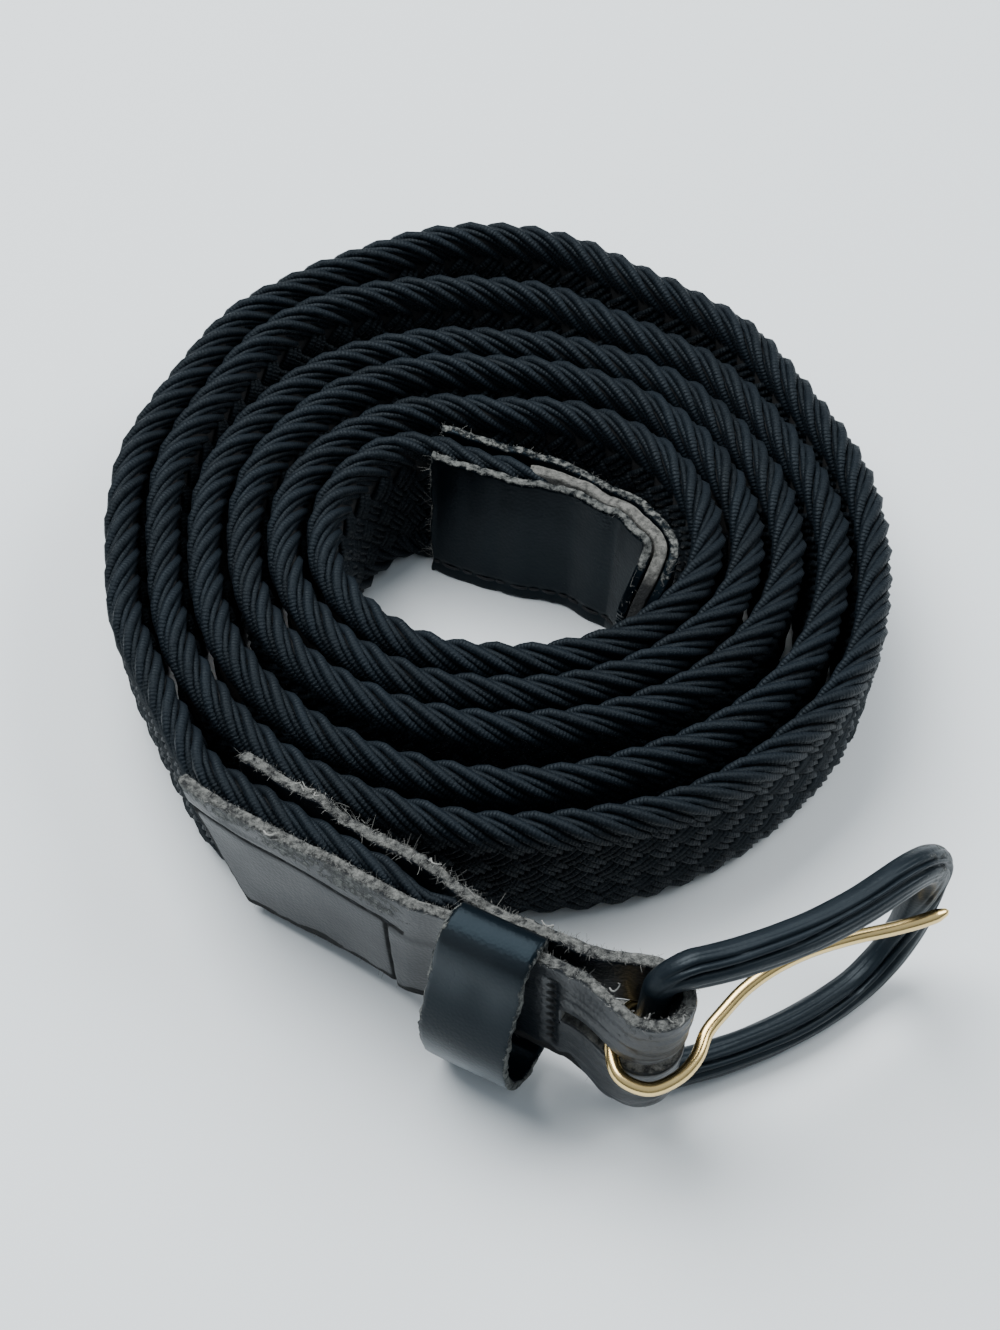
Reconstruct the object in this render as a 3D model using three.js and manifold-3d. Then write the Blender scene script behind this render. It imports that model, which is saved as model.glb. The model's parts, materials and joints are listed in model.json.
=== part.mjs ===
// A woven elastic belt with leather ends, rolled up and standing on its edge.
// Millimetres, +Z up, with the origin under the middle of its box. Seen from above, the band
// winds anticlockwise from the leather tip inside the coil to the buckle, which lies in front.
import * as THREE from 'three';
import { mergeVertices } from 'three/addons/utils/BufferGeometryUtils.js';
import Module from 'manifold-3d';

// Woven band
const beltWidth = 20; // its height, as it stands
const beltThickness = 4.45;
const pinchedThickness = 3.1; // deep inside the leather ends
const pinchRun = 8; // length over which it narrows at the tip

// Coil
const innerRadius = 21.8; // mean radius of the innermost turn
const turnGap = 0.36; // room between turns that lie against each other
const looseGap = 6; // widest extra room between two turns, at the back
const bandLean = 4.5; // degrees that the turns lean outwards at the top

// Leather
const tipThickness = 1.2;
const strapThickness = 1.5;
const keeperThickness = 1.1;
const partGap = 0.3; // room between pieces that lie against each other
const tipLength = 40; // leather tip, from its round end to its cut ends
const tipGrip = 12; // how far the band reaches into the tip
const fillerThickness = 1.5; // board between the two leathers of the tip
const tabLength = 59; // folded strap, from its cut ends to the frame's bar
const tabGrip = 30.5; // how far the band reaches into the strap
const cutSlant = 7; // the front layer's cut end starts this much later at the bottom
const backShort = 2.7; // the back layer's cut end starts this much later
const leadLength = 27.3; // free band between the coil and the strap
const riseRun = 18; // length of that band over which it starts to rise to the buckle
const keeperWidth = 10.4;
const keeperFromBar = 16.8; // middle of the keeper to the bar
const keeperRoom = 2.4; // room inside the keeper in front of the strap
const keeperBulge = 2.2; // extra room at its loose lower side
const keeperSkew = 1.8; // its lower side sits this much nearer the bar
const slotReach = 11; // length of the prong's slot on each side of the bar

// Buckle
const railWidth = 4.9; // leather-covered rail, in the frame's plane
const railDepth = 4.2; // and square to it
const barThickness = 3.4; // the bar inside the strap's fold is bare and thinner
const barShift = 0.9; // the bar lies this far towards the back of the fold
const barRoom = 2.85; // half the fold's own inside width
const frameLength = 34.5; // bar to far rail, middle to middle
const frameBow = 2.7; // how far the long rails bow outwards
const frameLean = 6.5; // degrees that the frame leans outwards at the top
const frameTurn = 57.5; // degrees from the strap's run to the frame's
const nearCorner = 3.5; // corner radii of the frame's centre line
const farCorner = 8.2;
const prongThickness = 1.55;
const prongOverhang = 1.1; // tip of the prong past the far rail's middle
const prongRise = 1.8; // height of its tip above the frame's middle
const prongTaper = 2.7; // length of its tapered end
const prongPoint = 0.45; // thickness at the very end, as a share of prongThickness
const runningGap = 0.4; // room round what turns on the bar
const sideRoom = 0.8; // room between the strap's edges and the long rails
const floorGap = 0.1; // buckle and keeper clear of what the coil stands on

// Steps of the faceted solids
const turnStep = 10; // degrees
const bandStep = 4.8; // length of one step of the band
const leatherStep = 2.7;
const roundSteps = 5; // facets of the band's round edges
const foldSteps = 14; // facets of the strap's fold round the bar
const railSides = 12;
const frameSteps = 64;
const wireSides = 8;
const prongSteps = 56;
const keeperSteps = 40; // round the keeper's loop
const keeperStrips = 4; // across the keeper

// The innermost turn, with its radius as a share of innerRadius. Direction 0 is right, 90 the back.
const innerTurn = [
  { direction: 90, radius: 0.865 },
  { direction: 120, radius: 0.99 },
  { direction: 150, radius: 1.015 },
  { direction: 180, radius: 0.95 },
  { direction: 210, radius: 0.83 },
  { direction: 240, radius: 0.76 },
  { direction: 270, radius: 0.733 },
  { direction: 300, radius: 0.805 },
  { direction: 330, radius: 0.965 },
  { direction: 360, radius: 1.165 },
  { direction: 390, radius: 1.21 },
  { direction: 420, radius: 1.163 },
  { direction: 450, radius: 1.0875 },
];

// Extra room outside each turn, as shares of looseGap.
const roomOutside = [
  { direction: 30, turn1: 0, turn2: 0, turn3: 0, turn4: 0, turn5: 0.17 },
  { direction: 60, turn1: 0, turn2: 0.19, turn3: 0, turn4: 0.15, turn5: 0.66 },
  { direction: 90, turn1: 0, turn2: 0.46, turn3: 0, turn4: 0.82, turn5: 0.99 },
  { direction: 120, turn1: 0, turn2: 0.35, turn3: 0.02, turn4: 0.89, turn5: 0.1 },
  { direction: 150, turn1: 0.04, turn2: 0.14, turn3: 0, turn4: 0.29, turn5: 0 },
  { direction: 180, turn1: 0, turn2: 0, turn3: 0, turn4: 0.02, turn5: 0.04 },
  { direction: 210, turn1: 0.02, turn2: 0.04, turn3: 0.16, turn4: 0.07, turn5: 0.07 },
  { direction: 240, turn1: 0, turn2: 0, turn3: 0.37, turn4: 0.11, turn5: 0.1 },
  { direction: 270, turn1: 0, turn2: 0.03, turn3: 0.52, turn4: 0.23, turn5: 0 },
  { direction: 300, turn1: 0, turn2: 0.06, turn3: 0.4, turn4: 0.34, turn5: 0 },
  { direction: 330, turn1: 0, turn2: 0.06, turn3: 0.34, turn4: 0.2, turn5: 0 },
  { direction: 360, turn1: 0, turn2: 0.02, turn3: 0.13, turn4: 0, turn5: 0 },
];
const lastDirection = 5 * 360 + 196; // where the band leaves the coil

// The bends from there to the bar: lengths as shares of leadLength and tabLength, turns in degrees.
const leadBends = [
  { share: 0.2, turn: 12 },
  { share: 0.67, turn: 3.2 },
  { share: 0.13, turn: 13 },
];
const strapBends = [
  { share: 0.06, turn: 13 },
  { share: 0.5, turn: 0 },
  { share: 0.14, turn: 7 },
  { share: 0.3, turn: 0 },
];

// The stiff tip cuts across inside the innermost turn: its extra room, as shares of looseGap.
const tipRoom = [
  { direction: -50, room: 0.03 },
  { direction: -18, room: 0.03 },
  { direction: 0, room: 0.1 },
  { direction: 15, room: 0.6 },
  { direction: 33, room: 1.1 },
  { direction: 55, room: 1.2 },
  { direction: 72, room: 1.13 },
  { direction: 89, room: 0.86 },
  { direction: 103, room: 0.72 },
  { direction: 115, room: 0.36 },
  { direction: 124, room: 0.05 },
  { direction: 140, room: 0 },
];
const tipMouth = 114; // direction of the tip's cut ends
const tipJoins = 130; // from here on the tip's line is the innermost turn's own

// Room between the strap's centre line and its leathers, by share of tabLength.
const strapHold = [
  { share: 0, hold: beltThickness / 2 + partGap },
  { share: 0.12, hold: beltThickness / 2 + partGap },
  { share: 0.4, hold: pinchedThickness / 2 + partGap },
  { share: 0.53, hold: pinchedThickness / 2 + partGap },
  { share: 0.6, hold: keeperThickness / 2 + partGap },
  { share: 0.82, hold: keeperThickness / 2 + partGap },
  { share: 0.86, hold: keeperThickness / 2 + partGap },
  { share: 1, hold: barRoom },
];

// The keeper's loop, from the middle of its back over the top and round its face. Outwards: shares
// of the way through the strap's front layer, of keeperRoom and of keeperBulge. Height: share of
// the way from its lowest to its highest point.
const keeperLoop = [
  { through: 0, room: 0, bulge: 0, height: 0.57 },
  { through: 0, room: 0, bulge: 0, height: 0.88 },
  { through: 0, room: 0, bulge: 0, height: 0.965 },
  { through: 0.08, room: 0, bulge: 0, height: 0.991 },
  { through: 0.27, room: 0, bulge: 0, height: 1 },
  { through: 1, room: 0.45, bulge: 0, height: 0.976 },
  { through: 1, room: 0.9, bulge: 0, height: 0.81 },
  { through: 1, room: 1, bulge: 0, height: 0.57 },
  { through: 1, room: 1, bulge: 0.75, height: 0.31 },
  { through: 1, room: 1, bulge: 0.7, height: 0.038 },
  { through: 1, room: 0.4, bulge: 0, height: 0 },
  { through: 0.35, room: 0, bulge: 0, height: 0.01 },
  { through: 0, room: 0, bulge: 0, height: 0.094 },
];

// The prong: its eye round the bar, by degrees from the frame's run towards its back, with its
// room as a share of the way out to the front of the leather.
const prongEye = [
  { angle: 25, room: 0 },
  { angle: 65, room: 0 },
  { angle: 105, room: 0 },
  { angle: 145, room: 0.05 },
  { angle: 180, room: 0.45 },
  { angle: 212, room: 1 },
  { angle: 240, room: 1.15 },
  { angle: 272, room: 1 },
  { angle: 305, room: 1 },
];
// Its run from there, in shares of frameLength and of its height on the far rail.
const prongRun = [
  { along: 0.17, out: 0.52 },
  { along: 0.3, out: 0.1 },
  { along: 0.5, out: 0.12 },
  { along: 0.7, out: 0.36 },
  { along: 0.86, out: 0.8 },
  { along: 0.957, out: 1 },
];

const radians = THREE.MathUtils.degToRad;
const ease = (x) => THREE.MathUtils.smoothstep(x, 0, 1);
const turnPitch = beltThickness + turnGap;
const crestHeight = beltWidth - beltThickness / 2; // the plan is drawn at this height

// Value of one column of a table, eased between its rows.
function easedColumn(rows, at, place, column) {
  const last = rows.length - 1;
  const next = rows.findIndex((row) => row[place] > at);
  if (next < 0) return rows[last][column];
  if (next === 0) return rows[0][column];
  const [low, high] = [rows[next - 1], rows[next]];
  const share = ease((at - low[place]) / (high[place] - low[place]));
  return THREE.MathUtils.lerp(low[column], high[column], share);
}

// Radius of the coil's centre line at each step of its winding.
function windCoil() {
  const first = innerTurn[0].direction;
  const rows = innerTurn.map((row) => new THREE.Vector2(row.direction, row.radius));
  const drawn = new THREE.SplineCurve(rows);
  const rooms = [1, 2, 3, 4, 5].flatMap((turn) =>
    roomOutside.map((row) => ({ direction: row.direction + 360 * (turn - 1), room: row[`turn${turn}`] })));
  const perTurn = 360 / turnStep;
  const radii = [];
  for (let i = 0; first + i * turnStep <= lastDirection + 2 * turnStep; i++) {
    if (i <= perTurn) {
      radii.push(innerRadius * drawn.getPoint(i / perTurn).y);
      continue;
    }
    const inside = i - perTurn;
    const climb = radii[inside + 1] - radii[Math.max(inside - 1, 0)];
    const slope = climb / radians(2 * turnStep) / radii[inside];
    const room = easedColumn(rooms, first + inside * turnStep, 'direction', 'room');
    radii.push(radii[inside] + turnPitch * Math.hypot(1, slope) + looseGap * room);
  }
  return (direction) => {
    const at = (direction - first) / turnStep;
    const i = THREE.MathUtils.clamp(Math.floor(at), 0, radii.length - 2);
    return THREE.MathUtils.lerp(radii[i], radii[i + 1], at - i);
  };
}
const coilRadius = windCoil();

const onCircle = (direction, radius) =>
  new THREE.Vector3(radius * Math.cos(radians(direction)), radius * Math.sin(radians(direction)), 0);

// Radius of the tip's centre line, inside the innermost turn.
function tipRadius(direction) {
  const outside = coilRadius(direction + 360);
  const half = turnStep / 2;
  const climb = coilRadius(direction + 360 + half) - coilRadius(direction + 360 - half);
  const slope = climb / radians(turnStep) / outside;
  const room = looseGap * easedColumn(tipRoom, direction, 'direction', 'room');
  return outside - turnPitch * Math.hypot(1, slope) - room;
}

// Centre line of the whole belt in plan, from inside the tip to the frame's bar.
function drawBelt() {
  const points = [];
  for (let direction = tipRoom[0].direction; direction < tipJoins; direction += turnStep / 2) {
    points.push(onCircle(direction, tipRadius(direction)));
  }
  for (let direction = tipJoins; direction <= lastDirection; direction += turnStep) {
    points.push(onCircle(direction, coilRadius(direction)));
  }
  const end = points.at(-1);
  const before = points.at(-2);
  const courses = [
    ...leadBends.map((bend) => ({ length: bend.share * leadLength, turn: bend.turn })),
    ...strapBends.map((bend) => ({ length: bend.share * tabLength, turn: bend.turn })),
  ];
  let heading = Math.atan2(end.y - before.y, end.x - before.x) + radians(turnStep / 2);
  for (const course of courses) {
    const strides = Math.ceil(course.length / leatherStep);
    for (let i = 0; i < strides; i++) {
      heading += radians(course.turn / strides / 2);
      const step = new THREE.Vector3(Math.cos(heading), Math.sin(heading), 0);
      points.push(points.at(-1).clone().addScaledVector(step, course.length / strides));
      heading += radians(course.turn / strides / 2);
    }
  }
  const curve = new THREE.CatmullRomCurve3(points, false, 'centripetal');
  curve.arcLengthDivisions = 3000;
  return { curve, length: curve.getLength() };
}
const belt = drawBelt();

// Length along the belt at which the tip's cut ends lie.
function findMouth() {
  let low = 0;
  let high = 3 * tipLength;
  while (high - low > 0.01) {
    const middle = (low + high) / 2;
    const point = belt.curve.getPointAt(middle / belt.length);
    const direction = THREE.MathUtils.radToDeg(Math.atan2(point.y, point.x));
    if (direction < tipMouth) low = middle;
    else high = middle;
  }
  return low;
}

// Places along the belt
const mouthAt = findMouth();
const tipAt = mouthAt - tipLength;
const bandFrom = mouthAt - tipGrip;
const barAt = belt.length;
const tabAt = barAt - tabLength;
const bandTo = tabAt + tabGrip;
const keeperAt = barAt - keeperFromBar;

// The frame: its run, the way it leans, and its heights
const strapEnd = belt.curve.getTangentAt(1);
const frameRun = strapEnd.clone().applyAxisAngle(new THREE.Vector3(0, 0, 1), radians(frameTurn));
const frameOut = new THREE.Vector3(frameRun.y, -frameRun.x, 0);
const frameUp = new THREE.Vector3(0, 0, 1).multiplyScalar(Math.cos(radians(frameLean)))
  .addScaledVector(frameOut, Math.sin(radians(frameLean)));
const frameFace = new THREE.Vector3().crossVectors(frameRun, frameUp);
const railSpacing = beltWidth + 2 * sideRoom + railWidth;
const leanSine = Math.sin(radians(frameLean));
const leanCosine = Math.cos(radians(frameLean));
const railReach = Math.hypot(railWidth / 2 * leanCosine, railDepth / 2 * leanSine);
const frameMiddle = floorGap + railReach + frameBow * leanSine + railSpacing / 2 * leanCosine;
const strapLift = frameMiddle - beltWidth / 2; // the strap's end rides at the frame's middle

// Where a piece of the belt lies: its plan point, its outward side, its lean and its lift.
function station(along) {
  const at = THREE.MathUtils.clamp(along / belt.length, 0, 1);
  const point = belt.curve.getPointAt(at);
  const tangent = belt.curve.getTangentAt(at);
  const outward = new THREE.Vector3(tangent.y, -tangent.x, 0);
  const share = ease((along - tabAt + riseRun) / (tabLength + riseRun));
  const lean = outward.clone().multiplyScalar(Math.tan(radians(bandLean)))
    .lerp(frameOut.clone().multiplyScalar(Math.tan(radians(frameLean))), share);
  return { point, outward, lean, lift: strapLift * share };
}

// A point of a section: so far outwards from the centre line, and so high above the lower edge.
function place(at, across, height) {
  return at.point.clone()
    .addScaledVector(at.outward, across)
    .addScaledVector(at.lean, height - crestHeight)
    .setZ(height + at.lift);
}

// A closed solid through rings of points; its ends are convex, or it closes on itself.
function loft(rings, closesOnItself = false) {
  const sides = rings[0].length;
  const positions = rings.flat().flatMap((point) => [point.x, point.y, point.z]);
  const index = [];
  const links = closesOnItself ? rings.length : rings.length - 1;
  for (let i = 0; i < links; i++) {
    const low = i * sides;
    const high = (i + 1) % rings.length * sides;
    for (let j = 0; j < sides; j++) {
      const k = (j + 1) % sides;
      index.push(low + j, low + k, high + k, low + j, high + k, high + j);
    }
  }
  if (!closesOnItself) {
    const top = (rings.length - 1) * sides;
    for (let j = 1; j < sides - 1; j++) {
      index.push(0, j + 1, j, top, top + j, top + j + 1);
    }
  }
  const geometry = new THREE.BufferGeometry();
  geometry.setAttribute('position', new THREE.Float32BufferAttribute(positions, 3));
  geometry.setIndex(index);
  geometry.computeVertexNormals();
  return geometry;
}

const stepsOver = (length, step) => Math.max(2, Math.ceil(length / step));
const spread = (from, to, steps) =>
  Array.from({ length: steps + 1 }, (_, i) => THREE.MathUtils.lerp(from, to, i / steps));

// Section of the woven band: flat sides and round edges, with a flat facet to stand on.
function bandSection(at, thickness) {
  const half = thickness / 2;
  const depth = half / Math.cos(Math.PI / 2 / roundSteps); // so that the facets reach the full width
  const ring = [];
  for (const [middle, from] of [[beltWidth - half, 0], [half, Math.PI]]) {
    for (let i = 0; i <= roundSteps; i++) {
      const angle = from + Math.PI * i / roundSteps;
      const rise = i === 0 || i === roundSteps ? 0 : depth * Math.sin(angle);
      ring.push(place(at, -half * Math.cos(angle), middle + rise));
    }
  }
  return ring;
}

const holdAt = (along) => easedColumn(strapHold, (along - tabAt) / tabLength, 'share', 'hold');

function bandGeometry() {
  const free = mouthAt + pinchRun;
  const stations = [
    ...spread(bandFrom, free, stepsOver(free - bandFrom, leatherStep)).slice(0, -1),
    ...spread(free, tabAt, stepsOver(tabAt - free, bandStep)).slice(0, -1),
    ...spread(tabAt, bandTo, stepsOver(bandTo - tabAt, leatherStep)),
  ];
  const rings = stations.map((along) => {
    const swell = ease((along - mouthAt) / pinchRun);
    const atTip = THREE.MathUtils.lerp(pinchedThickness, beltThickness, swell);
    return bandSection(station(along), Math.min(atTip, 2 * (holdAt(along) - partGap)));
  });
  return loft(rings);
}

// Height of the tip's lower and upper edge: its end is a half round.
function tipEdges(along) {
  const round = beltWidth / 2;
  const inRound = THREE.MathUtils.clamp(1 - (along - tipAt) / round, 0, 0.98);
  const half = round * Math.sqrt(1 - inRound * inRound);
  return [round - half, round + half];
}

const tipStations = (from, to) => {
  const roundTo = tipAt + beltWidth / 2;
  const round = spread(0, Math.PI / 2, 6).slice(0, -1)
    .map((angle) => roundTo - beltWidth / 2 * Math.cos(angle)).filter((along) => along > from + 0.2);
  const straight = spread(Math.max(roundTo, from), to, stepsOver(to - roundTo, leatherStep));
  return from < roundTo ? [from, ...round.filter((along) => along < roundTo - 0.1), ...straight] : straight;
};

// A layer of the tip between two distances from its centre line.
function tipLayer(from, to, inner, outer) {
  const rings = tipStations(from, to).map((along) => {
    const at = station(along);
    const [low, high] = tipEdges(along);
    const [near, far] = [inner(along), outer(along)];
    return [place(at, near, low), place(at, near, high), place(at, far, high), place(at, far, low)];
  });
  return loft(rings);
}

// Distance from the tip's centre line to the inner side of its leathers.
function tipHold(along) {
  const overFiller = fillerThickness / 2 + partGap;
  const overBand = pinchedThickness / 2 + partGap;
  return THREE.MathUtils.lerp(overFiller, overBand, ease((along - bandFrom) / pinchRun + 1));
}

function tipFillerGeometry() {
  const half = fillerThickness / 2;
  return tipLayer(tipAt, bandFrom - 2 * partGap, () => -half, () => half);
}

function tipLeatherGeometry(side) {
  const near = (along) => side * tipHold(along);
  const far = (along) => side * (tipHold(along) + tipThickness);
  return side > 0 ? tipLayer(tipAt, mouthAt, near, far) : tipLayer(tipAt, mouthAt, far, near);
}

// The strap's leather: out along its front layer, round the bar, and back along its back layer.
function strapRings() {
  const layer = (side, lowCut, highCut) => {
    const edge = (cut, share, height) => {
      const along = tabAt + THREE.MathUtils.lerp(cut, tabLength, share);
      const inner = place(station(along), side * holdAt(along), height);
      const outer = place(station(along), side * (holdAt(along) + strapThickness), height);
      return { inner, outer };
    };
    return spread(0, 1, stepsOver(tabLength, leatherStep)).map((share) => {
      const low = edge(lowCut, share, 0);
      const high = edge(highCut, share, beltWidth);
      return [low.inner, high.inner, high.outer, low.outer];
    });
  };
  const end = station(barAt);
  const fold = spread(0, Math.PI, foldSteps).slice(1, -1).map((angle) => {
    const outward = end.outward.clone().multiplyScalar(Math.cos(angle))
      .addScaledVector(strapEnd, Math.sin(angle));
    const at = { ...end, outward };
    const far = barRoom + strapThickness;
    return [
      place(at, barRoom, 0), place(at, barRoom, beltWidth),
      place(at, far, beltWidth), place(at, far, 0),
    ];
  });
  return [...layer(1, cutSlant, 0), ...fold, ...layer(-1, backShort, backShort).reverse()];
}

const wasm = await Module();
wasm.setup();

function toSolid(geometry) {
  const bare = geometry.clone();
  bare.deleteAttribute('normal');
  bare.deleteAttribute('uv');
  const merged = mergeVertices(bare, 1e-4);
  const mesh = new wasm.Mesh({
    numProp: 3,
    vertProperties: Float32Array.from(merged.attributes.position.array),
    triVerts: Uint32Array.from(merged.index.array),
  });
  return new wasm.Manifold(mesh);
}

function toGeometry(solid) {
  const mesh = solid.getMesh();
  const geometry = new THREE.BufferGeometry();
  geometry.setAttribute('position', new THREE.Float32BufferAttribute(mesh.vertProperties, 3));
  geometry.setIndex(Array.from(mesh.triVerts));
  geometry.computeVertexNormals();
  return geometry;
}

// The frame's own axes at the middle of its bar: x along the frame, y up the bar, z outwards.
const barMiddle = place(station(barAt), -barShift, beltWidth / 2);
const frameAxes = new THREE.Matrix4().makeBasis(frameRun, frameUp, frameFace).setPosition(barMiddle);

function strapGeometry() {
  const slotHeight = prongThickness + 2 * runningGap;
  const outside = barShift + barRoom + strapThickness;
  const slot = new THREE.BoxGeometry(slotReach + outside, slotHeight, 2 * (outside + partGap));
  slot.translate(outside + partGap - (slotReach + outside) / 2, 0, 0);
  slot.rotateY(radians(-frameTurn));
  slot.applyMatrix4(frameAxes);
  return toGeometry(toSolid(loft(strapRings())).subtract(toSolid(slot)));
}

// The keeper: a loose leather loop round the strap's front layer, down to the floor.
function keeperGeometry() {
  const half = keeperThickness / 2;
  const front = half + 2 * partGap + strapThickness + half; // through the strap's front layer
  const top = beltWidth + partGap + half;
  const bottom = floorGap + half - station(keeperAt - keeperWidth / 2).lift;
  const loop = new THREE.CatmullRomCurve3(keeperLoop.map((row) => new THREE.Vector3(
    front * row.through + keeperRoom * row.room + keeperBulge * row.bulge,
    THREE.MathUtils.lerp(bottom, top, row.height),
    0,
  )), true, 'centripetal');
  const rings = Array.from({ length: keeperSteps }, (_, i) => {
    const middle = loop.getPointAt(i / keeperSteps);
    const tangent = loop.getTangentAt(i / keeperSteps);
    const skew = keeperSkew * (0.5 - (middle.y - bottom) / (top - bottom));
    const side = (offset, share) => place(
      station(keeperAt + keeperWidth * share + skew),
      middle.x + tangent.y * offset,
      middle.y - tangent.x * offset,
    );
    return [
      ...spread(-0.5, 0.5, keeperStrips).map((share) => side(half, share)),
      ...spread(0.5, -0.5, keeperStrips).map((share) => side(-half, share)),
    ];
  });
  return loft(rings, true);
}

// The frame's centre line, in its own axes: straight ends, and rails that bow outwards.
function frameLoop() {
  const shape = new THREE.Path();
  const half = railSpacing / 2;
  shape.moveTo(0, 0);
  shape.lineTo(0, -half + nearCorner);
  shape.absarc(nearCorner, -half + nearCorner, nearCorner, Math.PI, Math.PI * 1.5, false);
  shape.lineTo(frameLength - farCorner, -half);
  shape.absarc(frameLength - farCorner, -half + farCorner, farCorner, -Math.PI / 2, 0, false);
  shape.lineTo(frameLength, half - farCorner);
  shape.absarc(frameLength - farCorner, half - farCorner, farCorner, 0, Math.PI / 2, false);
  shape.lineTo(nearCorner, half);
  shape.absarc(nearCorner, half - nearCorner, nearCorner, Math.PI / 2, Math.PI, false);
  shape.lineTo(0, 0);
  return shape;
}

const bowAt = (x) => frameBow * (1 - (2 * x / frameLength - 1) ** 2);

function frameGeometry() {
  const flat = frameLoop();
  const points = Array.from({ length: frameSteps }, (_, i) => {
    const point = flat.getPointAt(i / frameSteps);
    return new THREE.Vector3(point.x, point.y, bowAt(point.x));
  });
  const rings = points.map((point, i) => {
    const next = points[(i + 1) % frameSteps];
    const tangent = next.clone().sub(points[(i + frameSteps - 1) % frameSteps]).normalize();
    const wide = new THREE.Vector3(tangent.y, -tangent.x, 0).normalize();
    const deep = new THREE.Vector3().crossVectors(tangent, wide);
    const width = THREE.MathUtils.lerp(barThickness, railWidth, ease(point.x / nearCorner));
    const depth = THREE.MathUtils.lerp(barThickness, railDepth, ease(point.x / nearCorner));
    return Array.from({ length: railSides }, (_, j) => {
      const angle = 2 * Math.PI * j / railSides;
      return point.clone()
        .addScaledVector(wide, width / 2 * Math.cos(angle))
        .addScaledVector(deep, depth / 2 * Math.sin(angle))
        .applyMatrix4(frameAxes);
    });
  });
  return loft(rings, true);
}

// The prong: an eye round the bar that swings out through the slot and runs to the far rail.
function prongGeometry() {
  const half = prongThickness / 2;
  const eye = barThickness / 2 + runningGap + half;
  const frontOfLeather = barShift + barRoom + strapThickness + runningGap + half;
  const onRail = railDepth / 2 + partGap + half;
  const inFrame = (x, z) =>
    new THREE.Vector3(x, prongRise * Math.max(0, x / frameLength), z);
  const points = [
    ...prongEye.map((row) => {
      const radius = THREE.MathUtils.lerp(eye, frontOfLeather, row.room);
      return inFrame(radius * Math.cos(radians(row.angle)), -radius * Math.sin(radians(row.angle)));
    }),
    ...prongRun.map((row) => inFrame(frameLength * row.along, onRail * row.out)),
    inFrame(frameLength + prongOverhang, onRail + half * 0.3),
  ];
  const curve = new THREE.CatmullRomCurve3(points, false, 'centripetal');
  const length = curve.getLength();
  const rings = spread(0, 1, prongSteps).map((at) => {
    const point = curve.getPointAt(at);
    const tangent = curve.getTangentAt(at);
    const side = new THREE.Vector3(tangent.z, 0, -tangent.x).normalize();
    const up = new THREE.Vector3(0, 1, 0);
    const slender = Math.min(1, prongPoint + (1 - at) * length / prongTaper);
    return Array.from({ length: wireSides }, (_, j) => {
      const angle = 2 * Math.PI * j / wireSides;
      return point.clone()
        .addScaledVector(side, half * slender * Math.cos(angle))
        .addScaledVector(up, half * slender * Math.sin(angle))
        .applyMatrix4(frameAxes);
    });
  });
  return loft(rings);
}

const wovenElastic = new THREE.MeshStandardMaterial({ color: 0x14171c, roughness: 0.62, metalness: 0 });
const smoothLeather = new THREE.MeshStandardMaterial({ color: 0x1c2128, roughness: 0.42, metalness: 0 });
const splitLeather = new THREE.MeshStandardMaterial({ color: 0x8b8b86, roughness: 0.9, metalness: 0 });
const goldPlate = new THREE.MeshStandardMaterial({ color: 0xd9b25c, roughness: 0.28, metalness: 1 });

function addPiece(group, name, geometry, material) {
  const mesh = new THREE.Mesh(geometry, material);
  mesh.name = name;
  group.add(mesh);
}

function buildBelt() {
  const coiled = new THREE.Group();
  addPiece(coiled, 'braid_band', bandGeometry(), wovenElastic);
  addPiece(coiled, 'tip_inner_leather', tipLeatherGeometry(-1), smoothLeather);
  addPiece(coiled, 'tip_filler', tipFillerGeometry(), splitLeather);
  addPiece(coiled, 'tip_outer_leather', tipLeatherGeometry(1), smoothLeather);
  addPiece(coiled, 'buckle_strap', strapGeometry(), smoothLeather);
  addPiece(coiled, 'keeper', keeperGeometry(), smoothLeather);
  addPiece(coiled, 'buckle_frame', frameGeometry(), smoothLeather);
  addPiece(coiled, 'prong', prongGeometry(), goldPlate);
  const box = new THREE.Box3().setFromObject(coiled);
  const middle = box.getCenter(new THREE.Vector3());
  coiled.position.set(-middle.x, -middle.y, -box.min.z);
  const group = new THREE.Group();
  group.add(coiled);
  return group;
}

const group = buildBelt();
export default group;
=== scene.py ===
"""A woven elastic belt with leather ends, rolled up and standing on its edge.

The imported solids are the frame. Every length here is in millimetres on the belt's own drawing,
which has the coil's middle as its origin, and is turned to metres when a mesh is laid in place.
"""

from __future__ import annotations

import json
import logging
import math
from collections.abc import Callable
from dataclasses import dataclass
from enum import Enum

import bmesh
import bpy
import numpy as np
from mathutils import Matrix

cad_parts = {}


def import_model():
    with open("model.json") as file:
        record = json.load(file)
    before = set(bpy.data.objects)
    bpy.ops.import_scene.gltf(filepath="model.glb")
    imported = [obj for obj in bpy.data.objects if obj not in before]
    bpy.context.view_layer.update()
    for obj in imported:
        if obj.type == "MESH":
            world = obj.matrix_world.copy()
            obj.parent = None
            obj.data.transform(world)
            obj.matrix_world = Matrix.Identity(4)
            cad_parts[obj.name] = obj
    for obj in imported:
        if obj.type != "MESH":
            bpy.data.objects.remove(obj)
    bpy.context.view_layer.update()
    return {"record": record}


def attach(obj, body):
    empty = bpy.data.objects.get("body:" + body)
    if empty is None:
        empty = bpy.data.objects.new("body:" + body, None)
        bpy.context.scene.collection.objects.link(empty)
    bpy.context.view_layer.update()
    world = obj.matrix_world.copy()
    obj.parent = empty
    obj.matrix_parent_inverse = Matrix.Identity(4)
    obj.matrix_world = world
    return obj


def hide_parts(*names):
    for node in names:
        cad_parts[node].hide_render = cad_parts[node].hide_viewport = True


log = logging.getLogger("belt")
Array = np.ndarray
Output = bpy.types.NodeSocket
FLOOR_CONTACT = 0.01


# Small helpers

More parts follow.
